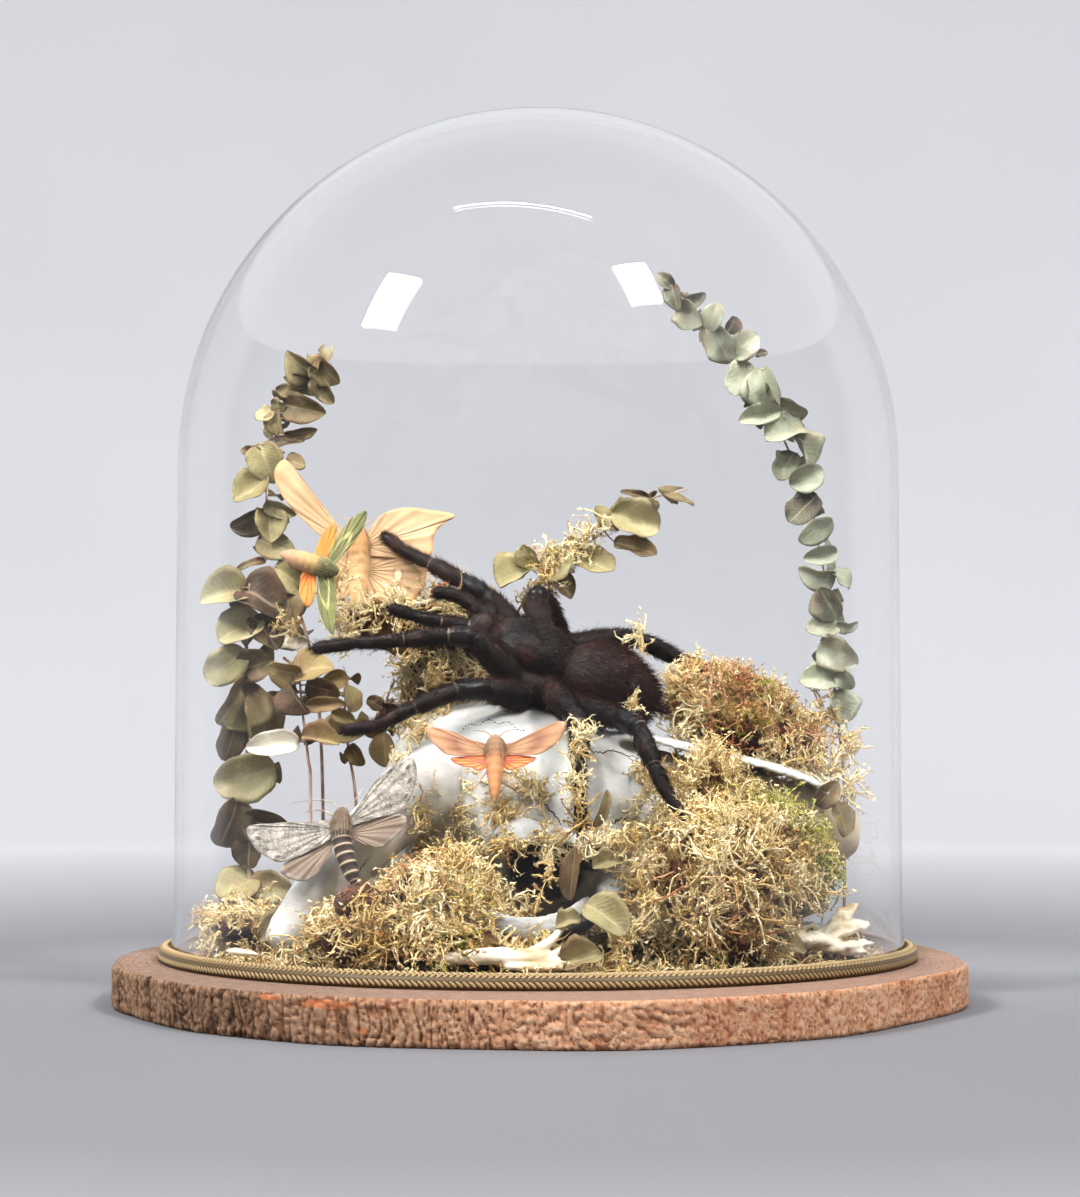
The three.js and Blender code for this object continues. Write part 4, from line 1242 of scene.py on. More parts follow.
gloss_share = np.clip(1.4 - knee_gap(spider_points) / 6.5, 0, 1)
warm_share = np.clip(1.5 - egg_reach(spider_points, *BELLY), 0, 0.75)
marked(spider.data, gloss=gloss_share, warm=warm_share)

# Grooves that run out from the middle of the shield between the legs.
shield_middle = np.array((-1, -3, 153))
spider_normals = np.empty(spider_points.size)
spider.data.vertices.foreach_get("normal", spider_normals)
spider_normals = spider_normals.reshape(-1, 3)
offset = spider_points - shield_middle
angle = np.arctan2(offset[:, 1], offset[:, 0] + 0.4 * offset[:, 2])
on_shield = np.clip(1.25 - egg_reach(spider_points, *SHIELD), 0, 1) * (spider_normals[:, 2] > 0.2)
groove = 0.9 * np.clip(np.cos(angle * 8), 0, 1) ** 4 * np.minimum(1, on_shield * 2.5)
coords = spider_points - spider_normals * groove[:, None]
spider.data.vertices.foreach_set("co", (coords * MM).astype(np.float32).ravel())
spider.data.update()
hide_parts("tarantula")
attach(spider, "root")

hair, place = finish_of("spider_hair", Roughness=0.6, Specular_IOR_Level=0.06)
tuft = noisy(place, 60.0, 2.0)
black = ramp(tuft, {0.4: "090605", 0.62: "2e1b13"})
paint("Base Color", blend(attribute("redness"), black, "38201a"))

rng = np.random.default_rng(21)
roots, normals = scatter(spider, HAIR_COUNT, rng)
limb_way = np.zeros_like(roots)
best = np.full(len(roots), 1e9)
for joints in list(LEGS.values()) + list(PALPS.values()):
    for start, end in zip(joints[1:], joints[2:]):
        start, end = np.array(start, float), np.array(end, float)
        way = end - start
        along = np.clip(((roots - start) @ way) / (way @ way), 0, 1)
        gap = np.linalg.norm(roots - start - along[:, None] * way, axis=1)
        closer = gap < best
        limb_way[closer] = way / np.linalg.norm(way)
        best[closer] = gap[closer]
on_limb = best < 6.2
keep = (knee_gap(roots) > 5.5) | (rng.random(len(roots)) < 0.25)
backwards = unit(np.array((0.88, -0.1, -0.46)))
combed = np.where(on_limb[:, None], limb_way, backwards)
belly = egg_reach(roots, *BELLY) < 1.1
lengths = rng.uniform(1.8, 3.6, len(roots)) + belly * rng.uniform(0.5, 2.5, len(roots))
long_ones = rng.random(len(roots)) < 0.05
lengths += long_ones * rng.uniform(1.0, 2.6, len(roots))
directions = combed + normals * rng.uniform(0.2, 0.95, (len(roots), 1)) + rng.normal(0, 0.2, roots.shape)
hair_points, hair_faces = spikes((roots - normals * 0.15)[keep], directions[keep], lengths[keep], HAIR_WIDTH)
redness_share = np.repeat(np.clip(belly[keep] * 0.55 + rng.random(keep.sum()) * 0.35, 0, 1), 4)
hairs = from_arrays("tarantula_hair", hair_points, [hair_faces], hair, redness=redness_share)
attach(hairs, "root")

# Pale rings of soft skin at the joints, two claws under the head and eight small eyes on it.
pale, place = finish_of("joint_skin", Roughness=0.5)
paint("Base Color", ramp(noisy(place, 110.0), {0.42: "1d1613", 0.66: "6f5b4a"}))
rings = []
for joints in LEGS.values():
    for which, size in ((3, 3.25), (4, 2.64)):
        before, here, after = (np.array(joints[which + k], float) for k in (-1, 0, 1))
        way = unit(after - before)
        rings.append(tube_arrays([(*(here + way * step), size + wide) for step, wide in (
            (-0.5, 0), (-0.1, 0.14), (0.1, 0.14), (0.5, 0))], 16, 8))
joint_rings = merged("tarantula_joint_rings", rings, pale)
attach(joint_rings, "root")

jaws = merged("tarantula_jaws", [turned_egg((-25, -13, 150), (6.4, 5.8, 8.8), (10, 30, 0)),
                                 turned_egg((-23, -2, 154.5), (6.4, 5.8, 8.8), (10, 30, 0))], skin)
roughened(jaws, 3, 0.7)
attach(jaws, "root")

horn, place = finish_of("claws_and_eyes", Roughness=0.15, Specular_IOR_Level=0.7)
paint("Base Color", ramp(noisy(place, 200.0), {0.3: "0c0606", 0.7: "27100b"}))
small_parts = [
    tube_arrays([(-27, -12, 148, 1.7), (-29.5, -14, 145, 1.4), (-29, -15.5, 141.5, 0.9),
                 (-26.5, -16, 139, 0.3)], 10, 14),
    tube_arrays([(-26, -3, 152.5, 1.6), (-29, -5, 149.5, 1.3), (-29.5, -7, 146, 0.8),
                 (-27.5, -8, 143.5, 0.3)], 10, 14),
]
for x, width in ((-1.5, 1.3), (0, 2.2), (1.2, 1.2), (0.1, 0.6)):
    for y in (width, -width):
        eye = (-15.5 + x, -7 + y, 155.9 + 0.3 * x - 0.15 * y * y)
        small_parts.append(turned_egg(eye, (0.6, 0.6, 0.6), (0, 0, 0), 10))
for joints in LEGS.values():
    tip, before = np.array(joints[-1], float), np.array(joints[-2], float)
    way = unit(tip - before)
    end = tip + way * 1.6 + np.array((0, 0, -1.1))
    claw = [(*(tip + way * 0.6), 0.5), (*(tip + way * 1.4), 0.38), (*end, 0.12)]
    small_parts.append(tube_arrays(claw, 6, 6))
claws = merged("tarantula_claws_and_eyes", small_parts, horn)
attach(claws, "root")


# ---------- moths ----------
# Four dried moths with spread wings. The wings are dusty scaled skin on stiff veins, and the
# bodies are furry in front and ringed behind. Each is pinned or glued by its belly.

MOTHS = {
    "moth_pink": {
        "centre": (-16.5, -63.5, 100.6), "normal": (0, -0.8, 0.6),
        "body": [(0, 7.6, 1.4), (0, 6.2, 2.5), (0, 3.2, 3.7), (0, -0.6, 3.9), (0, -4, 3.6), (0, -9, 3.3),
                 (0, -14, 2.6), (0, -19, 1.7), (0, -23, 0.5)],
        "fore": [
            [(-2.6, 3.4), (-8, 5.6), (-14, 8.6), (-20, 10.9), (-24, 11.7), (-27.4, 11.6), (-26.6, 8.4),
             (-24.6, 4.8), (-21, 0.8), (-16.6, -1.8), (-9, -1.6), (-2.6, -1.4)],
            [(2.6, 3.4), (6, 4.6), (10, 6.8), (18, 11.6), (24, 14.4), (27.6, 14.2), (26.8, 10), (24.8, 5.6),
             (21, 1.8), (15.4, -1.6), (9, -1.4), (2.6, -1.4)],
        ],
        "hind": [
            [(-2.6, -0.4), (-9, -1.2), (-17, -2.2), (-16, -4.4), (-13.2, -5.9), (-8.6, -7), (-6.6, -8.2),
             (-2.6, -6.6)],
            [(2.6, -0.4), (9, -1.0), (15.6, -1.8), (14.8, -3.8), (12.4, -5.2), (8, -7.2), (5.4, -7.8),
             (2.6, -6.2)],
        ],
        "legs": [[(-2, -6), (-4.4, -11), (-6.6, -14.6), (-9, -18.4)],
                 [(2, -6), (4.2, -10), (5.4, -14.2), (8, -17)]],
        "feelers": [[(-1, 7), (-4, 9.6), (-9, 10.4)], [(1, 7), (4, 9.8), (9, 10.8)]],
        "fur": ("8f6d4f", "b8906a"), "tail": {0.25: "8d6446", 0.5: "a3704a", 0.75: "b47a4b"},
    },
    "moth_grey": {
        "centre": (-76, -71, 71.4), "normal": (0.1, -0.9, 0.42),
        "body": [(0.8, 8.4, 1.2), (0.9, 7.2, 2.4), (0.6, 3.4, 3.7), (0.5, -1, 4.0), (0.9, -5.4, 3.7),
                 (1.8, -10, 3.7), (3.2, -15, 3.4), (4.8, -20, 2.6), (6, -23, 1.1)],
        "fore": [
            [(-2, 3.6), (-9, 3.4), (-17, 2.8), (-25, 2.2), (-31, 1.6), (-34.6, 0.2), (-34.4, -3.4),
             (-31.6, -8.4), (-27, -12.2), (-22, -13.8), (-14, -10.6), (-7, -6.6), (-2, -3)],
            [(2, 3.8), (5, 6.4), (9, 11.6), (14, 20), (19.6, 25.2), (25, 28.4), (28.6, 28.8), (30, 23.6),
             (28.8, 16.4), (25.8, 10.2), (21, 6.4), (13, 4), (2.4, 0.4)],
        ],
        "hind": [
            [(-2, -1), (-8, -5.6), (-14, -9.8), (-21, -14.2), (-22.6, -17.2), (-18.6, -20.4), (-13, -21),
             (-7.6, -16.8), (-3, -9)],
            [(2.6, 1.2), (10, 3.6), (18, 5.4), (24, 5.8), (25.8, 3.4), (22.8, -1.6), (17, -6.8),
             (12.4, -7.2), (4, -4)],
        ],
        "legs": [[(-1, 5), (-7, 8), (-13, 7.4)]],
        "feelers": [[(0.4, 8), (-5, 11.6), (-13, 11.4), (-21, 9.6)], [(1.6, 8), (6, 12), (9, 17)]],
        "fur": ("66523e", "cfc0a5"), "tail": {0.0: "2d1b18", 0.5: "43241f", 1.0: "c8bda6"},
    },
    "moth_green": {
        "centre": (-87.4, -16, 176.6), "normal": (0, -0.95, 0.3),
        "body": [(5.6, -2.6, 0.9), (4.6, -2.2, 2.4), (1.6, -1.2, 3.6), (-2, 0, 3.9), (-6, 1.4, 4.0),
                 (-10, 2.8, 3.8), (-14, 4.4, 3.0), (-18, 6, 0.9)],
        "fore": [
            [(0.6, 1), (1.8, 6), (5.0, 13), (9.2, 19.6), (13.2, 23.4), (16.8, 24.2), (16.2, 19.4),
             (13.4, 13.2), (9.0, 7.2), (4.2, 0.6)],
            [(-0.6, -2), (3, -2.4), (4.8, -9), (5.4, -18), (4.8, -29.6), (1.8, -26.6), (-0.8, -21),
             (-2.4, -13.6), (-2.6, -4)],
        ],
        "hind": [
            [(-4.6, 1.6), (-3.8, 8), (-1.6, 14), (2, 18.6), (4.4, 18.4), (4, 11), (1.6, 1.6)],
            [(-8, 1), (-9.8, -6), (-9.4, -12.8), (-6.2, -17.8), (-3.4, -12.4), (-3, 0)],
        ],
        "legs": [],
        "feelers": [[(8.6, -3), (11, -0.6), (14, 0.4)]],
        "fur": ("5d5a35", "8b8350"), "tail": {0.2: "7c7a46", 0.5: "a98a52", 0.8: "b98a6a"},
    },
    "moth_peach": {
        "centre": (-76, 20, 183.9), "normal": (0, -0.98, 0.2),
        "body": [(0, 13, 1.6), (0, 10.6, 3.0), (0, 5, 4.6), (0, -1, 4.8), (0, -7, 4.3), (0, -14, 3.9),
                 (0, -21, 3.0), (0, -27, 1.2)],
        "fore": [
            [(-2, 8.4), (-11, 14), (-18, 23.8), (-26, 35.2), (-32.4, 41.8), (-36.8, 35.6), (-33, 25.6),
             (-24, 15.6), (-15.4, 8), (-2, 0)],
            [(2, 8.4), (5, 13), (10, 18.2), (18, 21), (28, 20.2), (40.6, 17.4), (35.4, 13.4), (31.6, 8),
             (30.4, 0), (18, -1), (2, 0)],
        ],
        "hind": [
            [(-2, 2), (-15, -0.6), (-17.2, -10.4), (-11.6, -19.8), (-2, -16)],
            [(2, 2), (25.4, 1), (28.8, -8.2), (24.4, -19.2), (14, -22.2), (2, -14)],
        ],
        "legs": [],
        "feelers": [[(-1, 12), (-5, 16), (-10, 18)], [(1, 12), (5, 16), (9, 19)]],
        "fur": ("a87c4b", "d0a873"), "tail": {0.2: "b08453", 0.5: "c39a69", 0.8: "cda87a"},
    },
}
WING_THICKNESS = 0.28
WING_ROWS = 14
WING_COLUMNS = 60
WING_SAG = 1.2
TRUNK_RINGS = 56
TRUNK_SIDES = 20
FUR_COUNT = 2600


def wing_finish(name):
    """A dusty wing material with its common inputs: how far out from the root, and how far back
    from the leading edge, both from 0 to 1, the place in the wing, and the veins."""
    made, place = finish_of(name, Roughness=0.7, Specular_IOR_Level=0.25, Sheen_Weight=0.3)
    back = attribute("back")
    dusty = noisy(place, 900.0, 3.0, 0.7)
    return made, place, attribute("out"), back, dusty, sums("SINE", times(back, 75.0))


def dusted(dusty, ribs, shade, dust_code, share, rib_depth=0.5):
    """Finishes a wing with dust over its markings and with its raised veins."""
    paint("Base Color", blend(times(dusty, share), shade, dust_code))
    relief((ribs, rib_depth, 0.25), (dusty, 0.4, 0.12))


def band(value, middle, width):
    """The most where a value is at the middle, and nothing from the width away."""
    gap = sums("ABSOLUTE", sums("SUBTRACT", value, middle))
    return times(sums("MAXIMUM", sums("SUBTRACT", 1.0, sums("DIVIDE", gap, width)), 0.0), 1.5)


wings = {}

made, place, out, back, dusty, ribs = wing_finish("pink_forewing")
wander = noisy(place, 120.0, 2.0)
slant = plus(plus(out, times(back, -0.35)), times(wander, 0.12))
shade = ramp(slant, {0.0: "86603f", 0.22: "97704b", 0.42: "6f422c", 0.52: "815036", 0.66: "9c724f",
                     0.95: "996f52"})
shade = blend(band(back, 0.0, 0.16), shade, "7d4b36")
wings["moth_pink", "fore"] = made
dusted(dusty, ribs, shade, "aa8466", 0.3, 0.2)

made, place, out, back, dusty, ribs = wing_finish("orange_hindwing")
shade = ramp(out, {0.0: "e08f7c", 0.4: "f2683a", 0.8: "f07a3c", 1.0: "b9573a"})
wings["moth_pink", "hind"] = made
dusted(dusty, ribs, shade, "f59a68", 0.25)

made, place, out, back, dusty, ribs = wing_finish("grey_forewing")
net = add("TexVoronoi", Vector=place, feature="DISTANCE_TO_EDGE", Scale=760.0)
net_soft = noisy(place, 180.0, 5.0, 0.8)
shade = ramp(net_soft, {0.35: "6d665c", 0.5: "988f83", 0.68: "bab3a6"})
shade = blend(times(below(net, 0.03, 0.2), ramp(net_soft, {0.4: "ffffff", 0.6: "222222"})), shade, "3d3833")
shade = blend(times(band(out, 0.9, 0.05), above(ribs, 0.45, 0.6)), shade, "2c2724")
shade = blend(band(back, 0.0, 0.06), shade, "6e6153")
wings["moth_grey", "fore"] = made
dusted(dusty, ribs, shade, "bfb8ab", 0.2)

made, place, out, back, dusty, ribs = wing_finish("dusky_hindwing")
shade = ramp(out, {0.0: "8c7a64", 0.5: "766353", 0.9: "6a584a", 0.96: "8b7f71", 1.0: "847667"})
shade = blend(above(ribs, 0.75, 0.95, "777777"), shade, "5a463b")
wings["moth_grey", "hind"] = made
dusted(dusty, ribs, shade, "a09280", 0.3)

made, place, out, back, dusty, ribs = wing_finish("green_forewing")
cloud = noisy(place, 90.0, 4.0)
shade = ramp(cloud, {0.35: "45461f", 0.55: "60602f", 0.75: "75713f"})
shade = blend(band(out, 0.55, 0.08), shade, "a9a068")
shade = blend(band(back, 0.0, 0.1), shade, "464520")
wings["moth_green", "fore"] = made
dusted(dusty, ribs, shade, "9b9864", 0.3)

made, place, out, back, dusty, ribs = wing_finish("bright_orange_hindwing")
shade = ramp(out, {0.0: "a8744a", 0.3: "d96a22", 0.75: "dc7428", 1.0: "8f6a30"})
wings["moth_green", "hind"] = made
dusted(dusty, ribs, shade, "f8a94e", 0.25)

made, place, out, back, dusty, ribs = wing_finish("peach_wing")
cloud = noisy(place, 60.0, 4.0)
shade = ramp(cloud, {0.3: "9c7852", 0.55: "b08d66", 0.75: "c3a580"})
ring_gap = seen_patch(place, (-59.3, 20, 176), (2.6, 60, 4.2))
shade = blend(ramp(ring_gap, {0.0: "dddddd", 0.85: "dddddd", 1.0: "000000"}), shade, "8a6a48")
shade = blend(below(ring_gap, 0.5, 0.62), shade, "d8c4a2")
veins = above(ribs, 0.8, 0.97, "666666")
shade = blend(veins, shade, "d39a62")
shade = blend(band(out, 1.0, 0.07), shade, "c98f5a")
wings["moth_peach", "fore"] = wings["moth_peach", "hind"] = made
dusted(dusty, ribs, shade, "dcc29c", 0.25)


def wing_grid(outline, height):
    """Points of a wing in its own plane: rows from the root to the rim, columns from the leading
    edge to the trailing edge, with a slight droop and ripples along the veins."""
    rim_line = smooth_path(outline, WING_COLUMNS)
    root = (np.array(outline[0]) + np.array(outline[-1])) / 2
    share = np.linspace(0.02, 1, WING_ROWS)[:, None, None]
    flat = root + (rim_line - root)[None] * share
    out = np.broadcast_to(share[..., 0], flat.shape[:2])
    back = np.broadcast_to(np.linspace(0, 1, WING_COLUMNS)[None], flat.shape[:2])
    reach = np.linalg.norm(flat - root, axis=2)
    lift = height + WING_SAG * (reach / 30) ** 2 + 0.22 * np.sin(back * 40) * out
    lift = lift + 0.25 * np.sin(reach * 0.35 + back * 5)
    return np.concatenate([flat, lift[..., None]], 2).reshape(-1, 3), out.ravel(), back.ravel()


def plane_frame(centre, normal):
    """Turns points of a moth's own plane to their place."""
    up = unit(np.array(normal, float))
    span = unit(np.array((-up[1], up[0], 0.0)))
    return lambda points: np.array(centre) + points @ np.stack([span, np.cross(up, span), up])


rng = np.random.default_rng(31)
for name, parts in MOTHS.items():
    to_place = plane_frame(parts["centre"], parts["normal"])
    for kind, height in (("fore", 0.9), ("hind", 0.2)):
        for side, outline in zip(("left", "right"), parts[kind]):
            points, out, back = wing_grid(outline, height)
            wing = from_arrays(f"{name}_{kind}wing_{side}", to_place(points),
                               [grid_faces(WING_ROWS, WING_COLUMNS, wrap=False)], wings[name, kind],
                               out=out, back=back)
            modified(wing, "SOLIDIFY", thickness=WING_THICKNESS * MM, offset=0)
            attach(wing, "root")

    fuzz, place = finish_of(name + "_fur", Roughness=0.8, Specular_IOR_Level=0.2, Sheen_Weight=0.4)
    soft = noisy(place, 240.0, 3.0)
    dark_fur, light_fur = parts["fur"]
    fur_tone = ramp(soft, {0.3: dark_fur, 0.7: light_fur})
    paint("Base Color", fur_tone)
    relief((soft, 0.5, 0.4))

    ringed, place = finish_of(name + "_body", Roughness=0.65, Specular_IOR_Level=0.25, Sheen_Weight=0.1)
    soft = noisy(place, 300.0, 3.0)
    along = attribute("along")
    segments = sums("SINE", times(along, 70.0))
    if name == "moth_grey":
        belt = ramp(plus(times(segments, 0.5), 0.5),
                    {0.0: "150807", 0.76: "2f0f0c", 0.93: "8a7863", 1.0: "bcae94"})
        belt = blend(above(along, 0.9, 0.96), belt, "1c1310")
    else:
        belt = ramp(plus(along, times(segments, 0.06)), parts["tail"])
        belt = blend(above(segments, 0.6, 1.0, "1d1d1d"), belt, dark_fur)
    front = below(along, 0.36, 0.46)
    paint("Base Color", blend(front, blend(times(soft, 0.06), belt, light_fur), dark_fur))
    relief((segments, 0.3, 0.35), (soft, 0.5, 0.4))

    stations = [(x, y, radius * 0.35, radius) for x, y, radius in parts["body"]]
    points, quads, caps = tube_arrays(stations, TRUNK_SIDES, TRUNK_RINGS)
    along = np.append(np.repeat(np.linspace(0, 1, TRUNK_RINGS), TRUNK_SIDES), [0, 1])
    body = from_arrays(name + "_trunk", to_place(points), [quads, caps], ringed, along=along)
    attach(body, "root")

    middles = points[:-2].reshape(TRUNK_RINGS, TRUNK_SIDES, 3).mean(1)
    ring = rng.integers(4, TRUNK_RINGS - 2, FUR_COUNT)
    at = points[ring * TRUNK_SIDES + rng.integers(0, TRUNK_SIDES, FUR_COUNT)]
    outwards = unit(at - middles[ring])
    tailward = unit(np.gradient(middles, axis=0))[ring]
    in_front = ring / TRUNK_RINGS < 0.46
    length = np.where(in_front, rng.uniform(0.9, 2.0, FUR_COUNT), rng.uniform(0.3, 0.8, FUR_COUNT))
    direction = outwards * np.where(in_front, 0.55, 0.25)[:, None] + tailward + rng.normal(0, 0.2, at.shape)
    keep = in_front | (rng.random(FUR_COUNT) < (0.1 if name == "moth_grey" else 0.7))
    fur_points, fur_faces = spikes((at - outwards * 0.1)[keep], direction[keep], length[keep], 0.11)
    thin = []
    for kind, height, rise, radius, taper, steps, sides in (
            ("feelers", 1.4, 0.12, 0.3, 0.018, 12, 5), ("legs", 0.6, -0.15, 0.42, 0.025, 10, 6)):
        for path in parts[kind]:
            line = smooth_path([(x, y, height + rise * k) for k, (x, y) in enumerate(path)], steps)
            thin.append(tube_arrays([(*p, radius - taper * k) for k, p in enumerate(line)], sides, 14))
    points, groups = joined([(fur_points, np.zeros((0, 4), int), fur_faces)] + thin)
    fur = from_arrays(name + "_fur_and_legs", to_place(points), groups, fuzz)
    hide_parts(name)
    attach(fur, "root")


# ---------- eucalyptus sprigs ----------
# Dried sprigs with pairs of thin, nearly round leaves on a pinkish stem, each pair turned across
# the last. The leaves have dried into shallow cups, pale above and darker below.

LEAF_ROWS = 12
LEAF_COLUMNS = 9
SPRIGS = {
    # stem path, finish, stem radius, how pointed the leaves are from 0 to 1, and its leaves: x and
    # z of the middle, length, width, the way it points (0 right, 90 up), tone (-0.5 cream, 1 dark; part the
    # leaf's own colour, part painted shade on leaves that lie in shadow)
    "eucalyptus_far_left": dict(
        stem=[(-113, -9, 23), (-117, -4, 38), (-120, -2, 60), (-121, 0, 90), (-120, 0, 120), (-121, 0, 150),
              (-120, 0, 174)],
        finish="leaf_olive", radius=0.9, point=0.2, leaves=[
            (-130, 167, 18, 13, 185, 0.12), (-115, 165, 19, 15, -25, 1),
            (-123.5, 152, 18, 13.5, 205, 0.1), (-113, 151, 16, 11, -50, 0.95),
            (-129.5, 137, 18, 13, 215, 0.15), (-117, 137, 14, 12, 15, 0.75),
            (-125.5, 122, 20, 16, 240, 0.55), (-114, 114.5, 21, 13, -75, 0.5),
            (-127, 106, 16, 10, 255, 0.75), (-121, 91, 23, 17, 195, 0.05), (-127, 72, 19, 13, 250, 0.9),
            (-112, 71, 18, 13, -20, 0.95), (-119, 61, 13, 11, 265, 1), (-123.5, 46, 16, 13, 205, 0.3),
            (-110, 46, 16, 11, -15, 0.2), (-114, 32, 19, 11, -30, 0.1)]),
    "eucalyptus_tall_left": dict(
        stem=[(-92, 34, 23), (-92, 32, 80), (-94, 31, 122), (-99, 31, 150), (-107, 34, 172), (-115, 38, 192),
              (-118, 40, 210), (-116, 41, 230), (-112, 39, 246), (-104, 37, 260), (-94, 34, 273)],
        finish="leaf_olive", radius=0.8, point=0.75, leaves=[
            (-103, 268, 14, 10, 150, 0.6), (-96, 268, 9, 6, 60, 0.5), (-91, 265, 13, 9, -50, 0.6),
            (-91, 272, 8, 4, 70, 0.4), (-104, 262, 10, 5.5, 185, 0.7), (-98.5, 260, 10, 8, -70, 0.5),
            (-93, 257, 13, 7, -55, 0.6), (-109, 257, 9, 5.5, 170, 0.6), (-102, 249, 17, 11, -15, 0.7),
            (-113, 251, 6, 5, 120, 0.5), (-119, 247, 8, 6, 200, 0.1), (-112.5, 243, 11, 7, -80, 0.4),
            (-110, 235, 16, 4, 5, 0.8), (-103, 239, 13, 4.5, 10, 0.7), (-125, 231, 8.5, 4.5, 175, 0.6),
            (-118, 226, 16, 14, -70, 0.3), (-105.5, 226, 8, 6.5, -10, 0.6),
            (-125, 213.5, 15, 12, 215, 0.4), (-126, 201, 15, 8.5, 205, 0.75),
            (-116, 198, 14, 12, -85, 0.35), (-112, 205.5, 13, 6, -20, 0.15),
            (-113.5, 189.5, 16, 11, -20, 0.3), (-124, 182, 12, 3, 195, 0.7),
            (-106.5, 175.5, 16, 12, -35, 0.35), (-107, 163, 13, 9, -80, 0.6),
            (-104, 151, 12, 8, -30, -0.3)]),
    "eucalyptus_mid_left": dict(
        stem=[(-93, -12, 23), (-93, -12, 86), (-94, -12, 98), (-96, -12, 114), (-98, -10, 132),
              (-99, -8, 146)],
        finish="leaf_brown", slot="leaf_olive", radius=0.8, point=0.4, leaves=[
            (-104, 134, 12, 9, 170, 0.3), (-93, 135, 15, 11, 20, 0.3), (-88, 127, 13, 8.5, -15, 0.7),
            (-87, 120.5, 15, 5.5, 5, 0.5), (-98.5, 123, 13, 9, -60, 0.9), (-89, 106, 14, 7.5, -10, 0.6),
            (-108, 104.5, 19, 9, 185, -0.5)]),
    "eucalyptus_inner_left": dict(
        stem=[(-74, 8, 23), (-76, 9, 80), (-79, 10, 100), (-81, 10, 118), (-80, 11, 130), (-82, 12, 138)],
        finish="leaf_brown", slot="leaf_olive", radius=0.8, point=0.2, leaves=[
            (-77.5, 123.5, 10, 6, 95, 0.2), (-81.5, 116, 9, 5.5, -20, 0.4),
            (-82.5, 108.5, 17, 11, 190, 0.15), (-76, 100, 9, 6, -60, 0.6), (-85, 131, 10, 7, 200, 0.5)]),
    "eucalyptus_small_brown": dict(
        stem=[(-62, 42, 132), (-66, 44, 122), (-66, 44, 108), (-65, 42, 95)],
        finish="leaf_brown", radius=0.6, point=0.3, leaves=[
            (-70.5, 122, 7, 5.5, 150, 0.8), (-63, 118.5, 11, 7.5, -20, 0.9),
            (-66, 102, 13, 9.5, -85, 0.4), (-71, 110, 8, 5, 200, 0.7)]),
    "eucalyptus_tall_right": dict(
        stem=[(130, 26, 23), (130, 22, 84), (126, 14, 118), (124, 10, 134), (124, 11, 152), (121, 12, 174),
              (116, 14, 199), (109, 16, 222), (100, 18, 242), (87, 20, 264), (71, 20, 285), (54, 20, 302)],
        finish="leaf_sage", radius=0.7, point=0.3, leaves=[
            (54.5, 302, 8, 5, 140, 0.7), (58, 294.5, 10, 6.5, -80, 0.75), (66, 293.5, 11, 5, 25, 0.6),
            (66, 287, 12, 9, -50, 0.45), (75, 286, 11, 8, 75, 0.3), (69.5, 279, 6.5, 2.5, -95, 0.6),
            (82.5, 282.5, 7, 6, 60, 1), (78, 274, 15, 10.5, -65, 0.4), (88, 274, 13, 10, 40, 0.15),
            (95, 270.5, 5, 3, 10, 0.9), (85.5, 260, 15, 11, 240, 0.1), (90, 254, 11, 7.5, -85, 0.7),
            (98, 255.5, 16, 12.5, -75, 0), (94, 243.5, 16, 8, 195, 0.1), (106, 245.5, 13, 8, -30, 0.6),
            (105, 235, 16, 12, 200, 0.15), (112, 228.5, 14, 9, -60, 0.3), (105, 222, 12, 9.5, 235, 0.6),
            (114, 217, 14, 10, 20, 0.2), (112, 203.5, 15, 11, 225, 0.9), (117, 194, 16, 8.5, 205, 0.2),
            (119, 183.5, 13, 7, 190, 0.25), (117.5, 175.5, 14, 7.5, 175, 0.1),
            (128, 174.5, 9, 6, -40, 0.3), (122, 163.5, 13, 11, 120, 0.65),
            (119.5, 153.5, 13, 8.5, 185, 0.2), (130, 154, 8, 4, -5, 0.4),
            (125.5, 142.5, 16, 12, -35, 0.15), (118, 131.5, 15, 10, 180, 0.1),
            (129, 131.5, 9, 6.5, -60, 0.3), (125.5, 120, 13, 11, -80, 0.2)]),
    "eucalyptus_centre": dict(
        stem=[(-20, 58, 130), (-12, 52, 152), (-7, 46, 165), (10, 42, 182), (32, 42, 199), (48, 42, 210),
              (58, 42, 213), (66, 42, 215)],
        finish="leaf_olive", slot="leaf_sage", radius=0.7, point=0.1, leaves=[
            (-9.5, 176, 15, 12, 215, 0.2), (-4, 185.5, 10, 8, 120, 0.3), (7.5, 181.5, 15, 12, 30, 0.2),
            (24, 181.5, 17, 10, -20, 0.3), (10.5, 172.5, 11, 7.5, -40, 0.9),
            (42, 200.5, 19, 14, -20, 0.05), (42, 189, 17, 7, -15, 0.6), (43, 212, 13, 3, 165, 0.8),
            (61, 211, 12, 2.5, -15, 0.6), (28, 203, 9, 6, 110, 0.4), (-2, 166, 11, 8, 250, 0.4)]),
}

